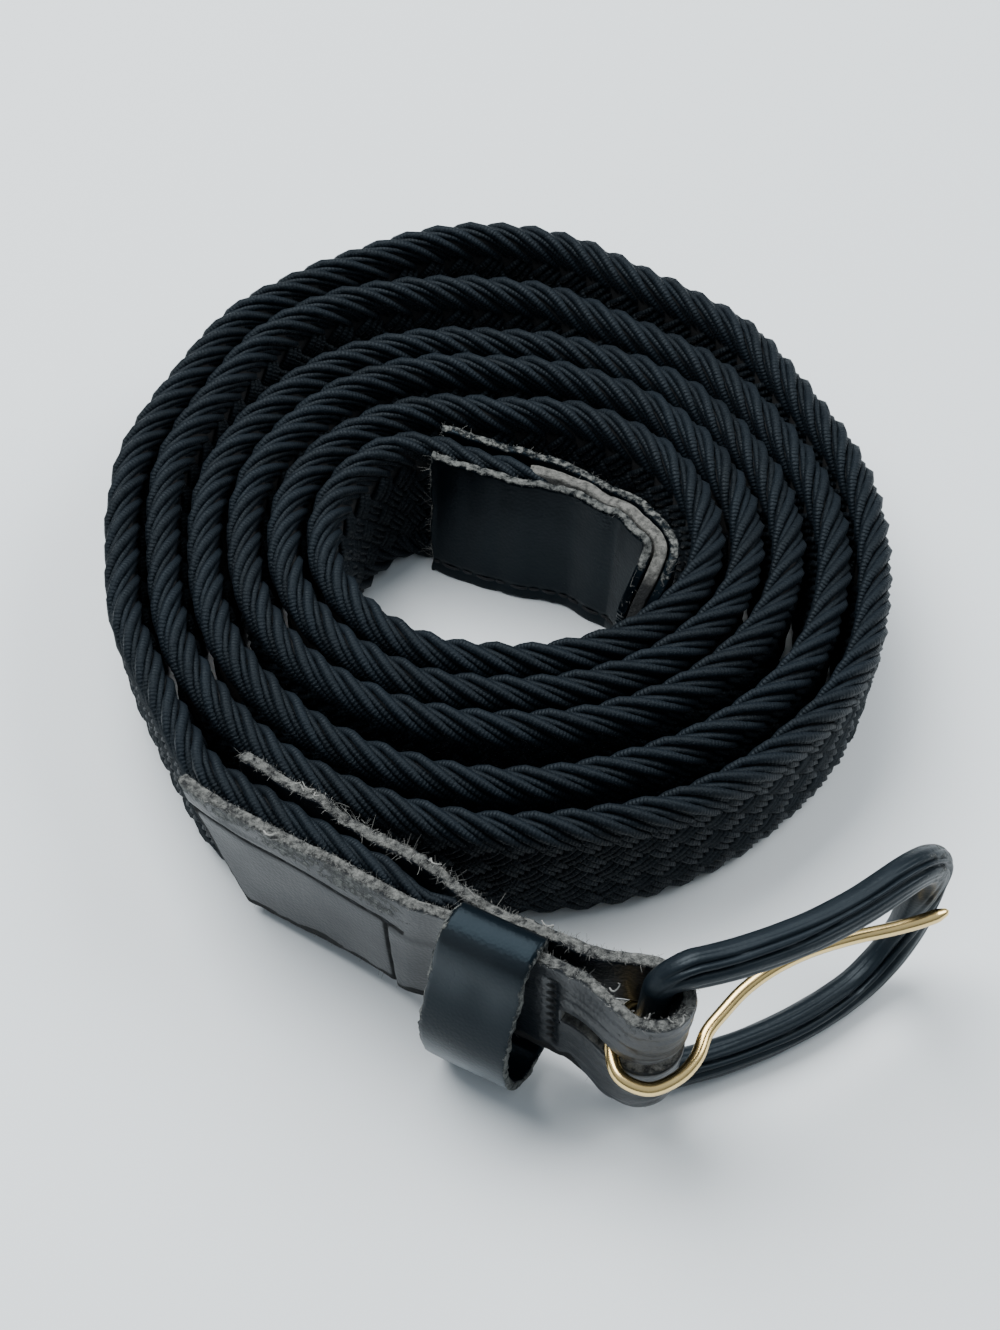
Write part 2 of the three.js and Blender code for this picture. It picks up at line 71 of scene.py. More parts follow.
def ease(share: Array | float) -> Array:
    """Smooth step from 0 to 1."""
    held = np.clip(share, 0.0, 1.0)
    return held * held * (3.0 - 2.0 * held)


def mix(low: Array | float, high: Array | float, share: Array | float) -> Array:
    """Value that lies a share of the way from low to high."""
    return low + (np.asarray(high) - low) * share


def eased_rows(rows: tuple[tuple[float, float], ...], at: Array) -> Array:
    """Value of a two-column table, eased between its rows.

    Args:
        rows: pairs of place and value, in order of place.
        at: places to read.

    Returns:
        One value for each place.
    """
    places, values = np.array(rows).T
    at = np.asarray(at, float)
    low = np.clip(np.searchsorted(places, at, side="right") - 1, 0, len(places) - 2)
    share = ease((at - places[low]) / (places[low + 1] - places[low]))
    return mix(values[low], values[low + 1], share)


def lumps(points: Array, size: float, seed: int) -> Array:
    """Smooth noise from -1 to 1.

    Args:
        points: places (n, 2 or 3) in mm.
        size: size of one lump in mm.
        seed: number that fixes the pattern.

    Returns:
        One value for each place.
    """
    table = np.random.default_rng(seed).uniform(-1.0, 1.0, 4096)
    scaled = np.asarray(points, float) / size
    cell = np.floor(scaled).astype(np.int64)
    part = ease(scaled - cell)
    primes = (73856093, 19349663, 83492791)
    total = np.zeros(len(scaled))
    for corner in np.ndindex(*(2,) * scaled.shape[1]):
        weight = np.ones(len(scaled))
        code = np.zeros(len(scaled), np.int64)
        for axis, step in enumerate(corner):
            weight *= part[:, axis] if step else 1.0 - part[:, axis]
            code ^= (cell[:, axis] + step) * primes[axis]
        total += weight * table[code & 4095]
    return total


def smooth_line(knots: Array, closed: bool = False, steps: int = 24) -> Array:
    """Points on a centripetal Catmull-Rom curve.

    Args:
        knots: points (n, 2 or 3) that the curve passes through.
        closed: whether it returns to its first knot.
        steps: points made for each span.

    Returns:
        The curve's points in order, the last knot included.
    """
    if closed:
        held = np.vstack([knots[-1:], knots, knots[:2]])
    else:
        held = np.vstack([2 * knots[0] - knots[1], knots, 2 * knots[-1] - knots[-2]])
    p0, p1, p2, p3 = held[:-3], held[1:-2], held[2:-1], held[3:]
    pairs = ((p0, p1), (p1, p2), (p2, p3))
    d0, d1, d2 = (np.linalg.norm(b - a, axis=1)[:, None] ** 0.5 for a, b in pairs)
    m1 = ((p1 - p0) / d0 - (p2 - p0) / (d0 + d1) + (p2 - p1) / d1) * d1
    m2 = ((p2 - p1) / d1 - (p3 - p1) / (d1 + d2) + (p3 - p2) / d2) * d1
    t = (np.arange(steps) / steps)[None, :, None]
    p1, p2, m1, m2 = (part[:, None, :] for part in (p1, p2, m1, m2))
    curve = (2 * t**3 - 3 * t**2 + 1) * p1 + (t**3 - 2 * t**2 + t) * m1
    curve = curve + (3 * t**2 - 2 * t**3) * p2 + (t**3 - t**2) * m2
    last = knots[:1] if closed else knots[-1:]
    return np.vstack([curve.reshape(-1, knots.shape[1]), last])


class Line:
    """A fine polyline that is read by the length along it."""

    def __init__(self, points: Array) -> None:
        """Measures the line through the points."""
        self.points = points
        strides = np.linalg.norm(np.diff(points, axis=0), axis=1)
        self.runs = np.concatenate([[0.0], np.cumsum(strides)])
        self.length = float(self.runs[-1])
        self.slopes = np.gradient(points, self.runs, axis=0)

    def at(self, run: Array | float) -> Array:
        """Points at these lengths along the line."""
        return self._read(self.points, run)

    def heading(self, run: Array | float) -> Array:
        """Unit directions of travel at these lengths along the line."""
        slope = self._read(self.slopes, run)
        return slope / np.linalg.norm(slope, axis=-1, keepdims=True)

    def _read(self, table: Array, run: Array | float) -> Array:
        """Columns of a table, between its rows."""
        columns = [np.interp(run, self.runs, table[:, k]) for k in range(table.shape[1])]
        return np.stack(columns, axis=-1)


# The belt's line, as in the solids

@dataclass(frozen=True)
class BeltSizes:
    """Sizes that the pieces share, in mm and degrees."""

    width: float = 20.0
    thickness: float = 4.45
    pinched: float = 3.1
    pinch_run: float = 8.0
    inner_radius: float = 21.8
    turn_gap: float = 0.36
    loose_gap: float = 6.0
    band_lean: float = 4.5
    part_gap: float = 0.3
    tip_length: float = 40.0
    tip_grip: float = 12.0
    tip_leather: float = 1.2
    filler: float = 1.5
    tab_length: float = 59.0
    tab_grip: float = 30.5
    lead_length: float = 27.3
    rise_run: float = 18.0
    strap_leather: float = 1.5
    keeper_leather: float = 1.1
    bar_room: float = 2.85
    bar_shift: float = 0.9
    frame_length: float = 34.5
    frame_bow: float = 2.7
    frame_lean: float = 6.5
    frame_turn: float = 57.5
    rail_width: float = 4.9
    rail_depth: float = 4.2
    side_room: float = 0.8
    floor_gap: float = 0.1
    last_direction: float = 1996.0
    tip_mouth: float = 114.0
    tip_joins: float = 130.0
    turn_step: float = 10.0
    leather_step: float = 2.7
    # direction, radius of the innermost turn as a share of inner_radius
    inner_turn: tuple[tuple[float, float], ...] = (
        (90, 0.865), (120, 0.99), (150, 1.015), (180, 0.95), (210, 0.83), (240, 0.76),
        (270, 0.733), (300, 0.805), (330, 0.965), (360, 1.165), (390, 1.21), (420, 1.163),
        (450, 1.0875),
    )
    # direction, then the room outside turns 1 to 5 as shares of loose_gap
    room_outside: tuple[tuple[float, ...], ...] = (
        (30, 0, 0, 0, 0, 0.17), (60, 0, 0.19, 0, 0.15, 0.66), (90, 0, 0.46, 0, 0.82, 0.99),
        (120, 0, 0.35, 0.02, 0.89, 0.1), (150, 0.04, 0.14, 0, 0.29, 0),
        (180, 0, 0, 0, 0.02, 0.04), (210, 0.02, 0.04, 0.16, 0.07, 0.07),
        (240, 0, 0, 0.37, 0.11, 0.1), (270, 0, 0.03, 0.52, 0.23, 0),
        (300, 0, 0.06, 0.4, 0.34, 0), (330, 0, 0.06, 0.34, 0.2, 0),
        (360, 0, 0.02, 0.13, 0, 0),
    )
    # share of lead_length, turn in degrees
    lead_bends: tuple[tuple[float, float], ...] = ((0.2, 12), (0.67, 3.2), (0.13, 13))
    # share of tab_length, turn in degrees
    strap_bends: tuple[tuple[float, float], ...] = ((0.06, 13), (0.5, 0), (0.14, 7), (0.3, 0))
    # direction, room inside the innermost turn as a share of loose_gap
    tip_room: tuple[tuple[float, float], ...] = (
        (-50, 0.03), (-18, 0.03), (0, 0.1), (15, 0.6), (33, 1.1), (55, 1.2), (72, 1.13),
        (89, 0.86), (103, 0.72), (115, 0.36), (124, 0.05), (140, 0),
    )

    @property
    def turn_pitch(self) -> float:
        """Distance between the middles of two turns that lie against each other."""
        return self.thickness + self.turn_gap

    @property
    def crest(self) -> float:
        """Height at which the plan is drawn."""
        return self.width - self.thickness / 2

    @property
    def strap_hold(self) -> tuple[tuple[float, float], ...]:
        """Share of tab_length, room between the strap's middle and its leathers."""
        free = self.thickness / 2 + self.part_gap
        pressed = self.pinched / 2 + self.part_gap
        held = self.keeper_leather / 2 + self.part_gap
        return (
            (0, free), (0.12, free), (0.4, pressed), (0.53, pressed), (0.6, held),
            (0.82, held), (0.86, held), (1, self.bar_room),
        )


class Route:
    """The belt's line from inside the tip to the buckle's bar, and where its pieces lie."""

    def __init__(self, sizes: BeltSizes, hinge: Array) -> None:
        """Draws the line.

        Args:
            sizes: the belt's sizes.
            hinge: middle of the buckle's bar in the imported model, in mm.
        """
        self.sizes = sizes
        self._wind_coil()
        self.line = self._soften(Line(smooth_line(self._knots(), steps=40)))
        near = np.linspace(0.0, 100.0, 4001)
        points = self.line.at(near)
        turned = np.unwrap(np.arctan2(points[:, 1], points[:, 0]))
        self.mouth = float(np.interp(math.radians(sizes.tip_mouth), turned, near))
        self.tip = self.mouth - sizes.tip_length
        self.band_from = self.mouth - sizes.tip_grip
        self.bar = self.line.length
        self.tab = self.bar - sizes.tab_length
        self.band_to = self.tab + sizes.tab_grip
        self._lean_frame()
        middle = self.place(self.bar, -sizes.bar_shift, sizes.width / 2, shifted=False)
        self.bar_middle = middle
        self.shift = hinge - middle

    @staticmethod
    def _soften(line: Line, stride: float = 0.1, reach: int = 20) -> Line:
        """The same line with its bends evened out, and its two ends kept."""
        runs = np.linspace(0.0, line.length, int(line.length / stride))
        points = line.at(runs)
        weights = np.hanning(2 * reach + 3)[1:-1]
        weights /= weights.sum()
        first = 2 * points[0] - points[reach:0:-1]
        last = 2 * points[-1] - points[-2:-reach - 2:-1]
        held = np.vstack([first, points, last])
        soft = [np.convolve(held[:, k], weights, "valid") for k in (0, 1)]
        return Line(np.stack(soft, -1))

    def _wind_coil(self) -> None:
        """Radius of the coil's middle at each step of its winding."""
        sizes = self.sizes
        step = sizes.turn_step
        shares = np.array([row[1] for row in sizes.inner_turn])
        held = np.concatenate([shares[:1], shares, shares[-1:]])
        p0, p1, p2, p3 = held[:-3], held[1:-2], held[2:-1], held[3:]
        per_turn = int(round(360 / step))
        spans = len(shares) - 1
        radii: list[float] = []
        for i in range(per_turn + 1):
            at = i * spans / per_turn
            k = min(int(at), spans - 1)
            t = at - k
            v0, v1 = (p2[k] - p0[k]) / 2, (p3[k] - p1[k]) / 2
            share = (2 * p1[k] - 2 * p2[k] + v0 + v1) * t**3
            share += (3 * p2[k] - 3 * p1[k] - 2 * v0 - v1) * t**2 + v0 * t + p1[k]
            radii.append(sizes.inner_radius * share)
        rooms = tuple(
            (row[0] + 360 * turn, row[turn + 1])
            for turn in range(5) for row in sizes.room_outside
        )
        first = sizes.inner_turn[0][0]
        count = int((sizes.last_direction - first) / step) + 3
        for i in range(per_turn + 1, count):
            inside = i - per_turn
            climb = radii[inside + 1] - radii[max(inside - 1, 0)]
            slope = climb / math.radians(2 * step) / radii[inside]
            room = float(eased_rows(rooms, first + inside * step))
            gap = sizes.turn_pitch * math.hypot(1, slope) + sizes.loose_gap * room
            radii.append(radii[inside] + gap)
        self.directions = first + step * np.arange(len(radii))
        self.radii = np.array(radii)

    def coil_radius(self, direction: Array | float) -> Array:
        """Radius of the coil's middle, by degrees wound from the right-hand side."""
        return np.interp(direction, self.directions, self.radii)

    def _tip_radius(self, direction: Array) -> Array:
        """Radius of the tip's middle, inside the innermost turn."""
        sizes = self.sizes
        outside = self.coil_radius(direction + 360)
        half = sizes.turn_step / 2
        climb = self.coil_radius(direction + 360 + half) - self.coil_radius(direction + 360 - half)
        slope = climb / math.radians(sizes.turn_step) / outside
        room = sizes.loose_gap * eased_rows(sizes.tip_room, direction)
        return outside - sizes.turn_pitch * np.hypot(1, slope) - room

    def _knots(self) -> Array:
        """Points that the belt's line passes through."""
        sizes = self.sizes
        inner = np.arange(sizes.tip_room[0][0], sizes.tip_joins, sizes.turn_step / 2)
        outer = np.arange(sizes.tip_joins, sizes.last_direction + 0.01, sizes.turn_step)
        turned = np.radians(np.concatenate([inner, outer]))
        radius = np.concatenate([self._tip_radius(inner), self.coil_radius(outer)])
        points = list(np.stack([radius * np.cos(turned), radius * np.sin(turned)], -1))
        last = points[-1] - points[-2]
        heading = math.atan2(last[1], last[0]) + math.radians(sizes.turn_step / 2)
        courses = [(share * sizes.lead_length, turn) for share, turn in sizes.lead_bends]
        courses += [(share * sizes.tab_length, turn) for share, turn in sizes.strap_bends]
        for length, turn in courses:
            strides = math.ceil(length / sizes.leather_step - 1e-9)
            for _ in range(strides):
                heading += math.radians(turn / strides / 2)
                step = np.array([math.cos(heading), math.sin(heading)])
                points.append(points[-1] + step * length / strides)
                heading += math.radians(turn / strides / 2)
        return np.array(points)

    def _lean_frame(self) -> None:
        """Directions of the buckle's frame, and how high it rides."""
        sizes = self.sizes
        end = self.line.heading(self.line.length)
        turn = math.radians(sizes.frame_turn)
        run_x = end[0] * math.cos(turn) - end[1] * math.sin(turn)
        run_y = end[0] * math.sin(turn) + end[1] * math.cos(turn)
        lean = math.radians(sizes.frame_lean)
        self.strap_end = np.array([end[0], end[1], 0.0])
        self.frame_run = np.array([run_x, run_y, 0.0])
        self.frame_out = np.array([run_y, -run_x, 0.0])
        up = np.array([0.0, 0.0, 1.0]) * math.cos(lean)
        self.frame_up = up + self.frame_out * math.sin(lean)
        self.frame_face = np.cross(self.frame_run, self.frame_up)
        spacing = sizes.width + 2 * sizes.side_room + sizes.rail_width
        self.rail_spacing = spacing
        wide = sizes.rail_width / 2 * math.cos(lean)
        reach = math.hypot(wide, sizes.rail_depth / 2 * math.sin(lean))
        middle = sizes.floor_gap + reach + sizes.frame_bow * math.sin(lean)
        middle += spacing / 2 * math.cos(lean)
        self.strap_lift = middle - sizes.width / 2

    def outward(self, along: Array) -> Array:
        """Unit vectors in plan from the coil's middle outwards."""
        heading = self.line.heading(np.clip(along, 0.0, self.line.length))
        return np.stack([heading[..., 1], -heading[..., 0]], -1)

    def lift(self, along: Array) -> Array:
        """Height of the lower edge above the floor."""
        return self.strap_lift * self._rise(along)

    def _rise(self, along: Array) -> Array:
        """Share of the way from the coil's lie to the buckle's."""
        sizes = self.sizes
        run = sizes.tab_length + sizes.rise_run
        return ease((np.asarray(along) - self.tab + sizes.rise_run) / run)

    def place(
        self,
        along: Array | float,
        across: Array | float,
        height: Array | float,
        outward: Array | None = None,
        shifted: bool = True,
    ) -> Array:
        """Points of the belt.

        Args:
            along: lengths along the belt.
            across: distances outwards from its middle.
            height: heights above its lower edge.
            outward: plan vectors to use in place of the line's own.
            shifted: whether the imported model's origin is used, and not the coil's middle.

        Returns:
            Points (..., 3) in mm.
        """
        sizes = self.sizes
        along, across, height = np.broadcast_arrays(
            np.asarray(along, float), np.asarray(across, float), np.asarray(height, float))
        held = np.clip(along, 0.0, self.line.length)
        side = self.outward(held)
        rise = self._rise(along)[..., None]
        lean = side * math.tan(math.radians(sizes.band_lean)) * (1 - rise)
        lean = lean + self.frame_out[:2] * math.tan(math.radians(sizes.frame_lean)) * rise
        side = side if outward is None else outward
        plan = self.line.at(held) + side * across[..., None]
        plan = plan + lean * (height - sizes.crest)[..., None]
        points = np.concatenate([plan, (height + self.lift(along))[..., None]], -1)
        return on_floor(points + self.shift) if shifted else points

    def in_frame(self, local: Array) -> Array:
        """Points given as run, up and out from the bar's middle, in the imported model's frame."""
        axes = np.stack([self.frame_run, self.frame_up, self.frame_face])
        return local @ axes + self.bar_middle + self.shift

    def hold(self, along: Array) -> Array:
        """Room between the belt's middle and the strap's leathers."""
        share = (np.asarray(along) - self.tab) / self.sizes.tab_length
        return eased_rows(self.sizes.strap_hold, share)

    def band_thickness(self, along: Array) -> Array:
        """Thickness of the woven band."""
        sizes = self.sizes
        swell = ease((np.asarray(along) - self.mouth) / sizes.pinch_run)
        free = mix(sizes.pinched, sizes.thickness, swell)
        return np.minimum(free, 2 * (self.hold(along) - sizes.part_gap))

    def side_gap(self, along: Array, side: int) -> Array:
        """Free room beside the band on its outer (1) or inner (-1) side."""
        half = self.sizes.thickness / 2
        face = self.line.at(along) + self.outward(along) * half * side
        others = np.arange(0.0, self.line.length, 1.0)
        points = self.line.at(others)
        away = np.linalg.norm(face[:, None, :] - points[None], axis=-1)
        away[np.abs(along[:, None] - others[None]) < 40] = np.inf
        return away.min(1) - half


# Meshes

def deselect() -> None:
    """Leaves nothing selected."""
    for thing in bpy.context.selected_objects:
        thing.select_set(False)
    bpy.context.view_layer.objects.active = None


def take_blank(name: str) -> bpy.types.Object:
    """Names the primitive just added and leaves it in object mode."""
    if bpy.context.mode != "OBJECT":
        bpy.ops.object.mode_set(mode="OBJECT")
    piece = bpy.context.object
    piece.name = name
    piece.data.name = name
    return piece


def select_edges(piece: bpy.types.Object, test: Callable[[Array, Array], bool]) -> None:
    """Selects the edges of a piece in edit mode whose two ends pass a test."""
    bpy.ops.mesh.select_mode(type="EDGE")
    bpy.ops.mesh.select_all(action="DESELECT")
    shape = bmesh.from_edit_mesh(piece.data)
    for edge in shape.edges:
        ends = [np.array(vertex.co) for vertex in edge.verts]
        edge.select_set(bool(test(*ends)))
    bmesh.update_edit_mesh(piece.data)


def points_of(piece: bpy.types.Object) -> Array:
    """Vertices of a piece as an array (n, 3)."""
    flat = np.zeros(len(piece.data.vertices) * 3)
    piece.data.vertices.foreach_get("co", flat)
    return flat.reshape(-1, 3)


def on_floor(points: Array) -> Array:
    """Points in mm, with what would sink into the floor pressed flat on it."""
    held = points.copy()
    held[..., 2] = np.maximum(held[..., 2], FLOOR_CONTACT)
    return held


def put_points(piece: bpy.types.Object, points: Array) -> None:
    """Lays a piece's vertices at points in mm."""
    piece.data.vertices.foreach_set("co", (points / 1000).ravel())
    piece.data.update()


def put_numbers(mesh: bpy.types.Mesh, name: str, values: Array) -> None:
    """Keeps one number for each vertex, for the finishes to read."""
    layer = mesh.attributes.new(name, "FLOAT", "POINT")
    layer.data.foreach_set("value", np.asarray(values, np.float32))


def face_out(piece: bpy.types.Object) -> None:
    """Merges doubles and turns the faces outwards."""
    deselect()
    piece.select_set(True)
    bpy.context.view_layer.objects.active = piece
    bpy.ops.object.mode_set(mode="EDIT")
    bpy.ops.mesh.select_all(action="SELECT")
    bpy.ops.mesh.remove_doubles(threshold=1e-6)
    bpy.ops.mesh.normals_make_consistent(inside=False)
    bpy.ops.object.mode_set(mode="OBJECT")


def ring_blank(name: str, around: int, sides: int) -> tuple[bpy.types.Object, Array, Array]:
    """A closed ring.

    Args:
        name: name of the piece.
        around: parts round the ring.
        sides: sides round its section.

    Returns:
        The ring, and for each vertex its share of the way round and its angle on the section.
    """
    deselect()
    bpy.ops.mesh.primitive_torus_add(major_radius=1, minor_radius=0.25, major_segments=around,
                                     minor_segments=sides)
    piece = take_blank(name)
    points = points_of(piece)
    share = np.arctan2(points[:, 1], points[:, 0]) / (2 * np.pi) % 1.0
    angle = np.arctan2(points[:, 2], np.hypot(points[:, 0], points[:, 1]) - 1)
    return piece, share, angle


def tube_blank(name: str, sides: int, cuts: tuple[int, ...]) -> bpy.types.Object:
    """A closed straight tube of radius 1 and length 1, standing on z.

    Args:
        name: name of the piece.
        sides: sides round it.
        cuts: parts into which each part of its length is divided, one after the other.

    Returns:
        The tube.
    """
    deselect()
    bpy.ops.mesh.primitive_cylinder_add(vertices=sides, radius=1, depth=1)
    piece = take_blank(name)
    bpy.ops.object.mode_set(mode="EDIT")
    for parts in cuts:
        select_edges(piece, lambda a, b: abs(a[2] - b[2]) > 1e-5)
        bpy.ops.mesh.subdivide(number_cuts=parts - 1)
    bpy.ops.object.mode_set(mode="OBJECT")
    return piece


def leather_blank(
    name: str, length: float, width: float, thickness: float, step: float, round_edge: float,
    hole: tuple[float, float, float, float] | None = None,
) -> bpy.types.Object:
    """A flat piece of leather as it is cut, before it is laid in place.

    Args:
        name: name of the piece.
        length: size along x, from 0.
        width: size along y, from 0.
        thickness: size along z, half on each side of 0.
        step: size of its faces.
        round_edge: how far its cut edges are rounded.
        hole: lowest and highest x, then lowest and highest y, of a slot cut through it.

    Returns:
        The piece, flat, in mm.
    """
    deselect()
    columns, rows = round(length / step), round(width / step)
    bpy.ops.mesh.primitive_grid_add(x_subdivisions=columns, y_subdivisions=rows, size=1)
    piece = take_blank(name)
    points = points_of(piece)
    points[:, 0] = (points[:, 0] + 0.5) * length
    points[:, 1] = (points[:, 1] + 0.5) * width
    points[:, 2] = -thickness / 2
    if hole:
        for axis, low, high in ((0, hole[0], hole[1]), (1, hole[2], hole[3])):
            for border in (low, high):
                lines = np.unique(np.round(points[:, axis], 4))
                near = lines[np.argmin(np.abs(lines - border))]
                points[np.abs(points[:, axis] - near) < 1e-3, axis] = border
    put_points(piece, points * 1000)
    bpy.ops.object.mode_set(mode="EDIT")
    shape = bmesh.from_edit_mesh(piece.data)
    if hole:
        for face in shape.faces:
            middle = face.calc_center_median()
            inside = hole[0] < middle.x < hole[1] and hole[2] < middle.y < hole[3]
            face.select_set(inside)
        bmesh.update_edit_mesh(piece.data)
        bpy.ops.mesh.delete(type="FACE")
    bpy.ops.mesh.select_all(action="SELECT")
    bpy.ops.mesh.extrude_region_move(TRANSFORM_OT_translate={"value": (0, 0, thickness)})
    bpy.ops.mesh.select_all(action="SELECT")
    bpy.ops.mesh.normals_make_consistent(inside=False)
    bpy.ops.mesh.select_all(action="DESELECT")
    shape = bmesh.from_edit_mesh(piece.data)
    for edge in shape.edges:
        sharp = len(edge.link_faces) == 2 and edge.calc_face_angle(0.0) > 1.0
        level = abs(edge.verts[0].co.z - edge.verts[1].co.z) < 1e-5
        edge.select_set(sharp and level)
    bmesh.update_edit_mesh(piece.data)
    bpy.ops.mesh.bevel(offset=round_edge, segments=2, affect="EDGES")
    bpy.ops.object.mode_set(mode="OBJECT")
    return piece


def finish_piece(
    piece: bpy.types.Object, finish: bpy.types.Material, body: str, slot: str, *nodes: str,
    angle: float = 60.0,
) -> None:
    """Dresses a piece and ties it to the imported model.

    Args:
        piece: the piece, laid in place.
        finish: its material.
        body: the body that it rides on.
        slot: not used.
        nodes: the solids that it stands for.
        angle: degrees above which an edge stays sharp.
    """
    piece.data.materials.clear()
    piece.data.materials.append(finish)
    deselect()
    piece.select_set(True)
    bpy.context.view_layer.objects.active = piece
    bpy.ops.object.shade_smooth_by_angle(angle=math.radians(angle))
    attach(piece, body)
    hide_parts(*nodes)
    faces = sum(len(face.vertices) - 2 for face in piece.data.polygons)
    log.info("%s: %d triangles", piece.name, faces)


class Strand:
    """One short piece of tube, modelled once and laid many times."""

    def __init__(self, name: str, sides: int, rings: int) -> None:
        """Models the tube and reads its parts."""
        blank = tube_blank(name, sides, (rings - 1,))
        points = points_of(blank)
        self.rings = rings
        self.ring = np.round((points[:, 2] + 0.5) * (rings - 1)).astype(int)
        self.angle = np.arctan2(points[:, 1], points[:, 0])
        self.sizes = np.array([len(face.vertices) for face in blank.data.polygons])
        self.corners = np.array([k for face in blank.data.polygons for k in face.vertices])
        bpy.data.objects.remove(blank)

    def lay(
        self, name: str, middles: Array, radii: Array, tones: Array, facing: Array,
    ) -> bpy.types.Object:
        """Copies the tube along many lines into one joined piece.

        Args:
            name: name of the piece.
            middles: points (count, rings, 3) of the lines, in mm.
            radii: radius (count, rings) at each point.
            tones: one number for each line, for its shade.
            facing: directions (count, rings, 3) roughly square to the lines, out of the surface.

        Returns:
            The joined piece.
        """
        heading = np.gradient(middles, axis=1)
        heading /= np.linalg.norm(heading, axis=-1, keepdims=True) + 1e-12
        side = np.cross(facing, heading)
        side /= np.linalg.norm(side, axis=-1, keepdims=True) + 1e-12
        out = np.cross(heading, side)
        wave = np.cos(self.angle)[None, :, None]
        rise = np.sin(self.angle)[None, :, None]
        spoke = wave * side[:, self.ring] + rise * out[:, self.ring]
        points = middles[:, self.ring] + radii[:, self.ring, None] * spoke
        count = len(middles)
        per = len(self.ring)
        strides = np.linalg.norm(np.diff(middles, axis=1), axis=-1)
        run = np.concatenate([np.zeros((count, 1)), np.cumsum(strides, axis=1)], axis=1)
        mesh = bpy.data.meshes.new(name)
        corners = (self.corners[None] + per * np.arange(count)[:, None]).ravel()
        sizes = np.tile(self.sizes, count)
        mesh.vertices.add(count * per)
        mesh.vertices.foreach_set("co", (on_floor(points) / 1000).ravel())
        mesh.loops.add(len(corners))
        mesh.loops.foreach_set("vertex_index", corners.astype(np.int32))
        mesh.polygons.add(len(sizes))
        starts = np.concatenate([[0], np.cumsum(sizes)[:-1]])
        mesh.polygons.foreach_set("loop_start", starts.astype(np.int32))
        mesh.update(calc_edges=True)
        mesh.validate()
        put_numbers(mesh, "run", run[:, self.ring].ravel())
        put_numbers(mesh, "tone", np.repeat(tones, per))
        piece = bpy.data.objects.new(name, mesh)
        bpy.context.scene.collection.objects.link(piece)
        return piece


def grow_fibres(
    name: str, roots: Array, facing: Array, lengths: Array, seed: int, radius: float = 0.036,
) -> bpy.types.Object:
    """Makes many short curled fibres.

    Args:
        name: name of the piece.
        roots: points (n, 3) that they grow from, in mm.
        facing: directions (n, 3) that they grow in.
        lengths: their lengths.
        seed: number that fixes their curls.
        radius: radius at the root.

    Returns:
        The joined piece.
    """
    chance = np.random.default_rng(seed)
    count = len(roots)
    grow = facing / np.linalg.norm(facing, axis=1, keepdims=True)
    grow = grow + chance.normal(0, 0.75, (count, 3))
    grow /= np.linalg.norm(grow, axis=1, keepdims=True)
    curl = chance.normal(0, 0.8, (count, 3))
    share = np.linspace(0, 1, 4)[None, :, None]
    sizes = lengths[:, None, None]
    middles = roots[:, None] + sizes * (grow[:, None] * share + curl[:, None] * share**2)
    radii = radius * (1 - 0.6 * share[..., 0]) * np.ones((count, 1))
    side = chance.normal(0, 1, (count, 1, 3)) * np.ones((1, 4, 1))
    return Strand("fibre", 3, 4).lay(name, middles, radii, chance.uniform(0, 1, count), side)


# Finishes

def linear(code: str) -> tuple[float, float, float, float]:
    """Linear colour of an sRGB hex value."""
    parts = [int(code[k:k + 2], 16) / 255 for k in (1, 3, 5)]
    lit = [p / 12.92 if p <= 0.04045 else ((p + 0.055) / 1.055) ** 2.4 for p in parts]
    return (lit[0], lit[1], lit[2], 1.0)


def add_node(
    tree: bpy.types.NodeTree, kind: str, values: dict | None = None, links: dict | None = None,
    **settings: object,
) -> bpy.types.Node:
    """Adds a node with its settings, values and links.

    Args:
        tree: the node tree.
        kind: the node's type.
        values: socket name or number to value.
        links: socket name or number to the socket that feeds it.
        settings: the node's own properties.

    Returns:
        The node.
    """
    node = tree.nodes.new(kind)
    for name, value in settings.items():
        setattr(node, name, value)
    for key, value in (values or {}).items():
        node.inputs[key].default_value = value
    for key, source in (links or {}).items():
        tree.links.new(source, node.inputs[key])
    return node


def new_material(name: str) -> tuple[bpy.types.Material, bpy.types.NodeTree, bpy.types.Node]:
    """A material with its tree and its shader."""
    material = bpy.data.materials.new(name)
    material.use_nodes = True
    tree = material.node_tree
    tree.nodes.clear()
    shader = add_node(tree, "ShaderNodeBsdfPrincipled")
    add_node(tree, "ShaderNodeOutputMaterial", links={"Surface": shader.outputs[0]})
    return material, tree, shader


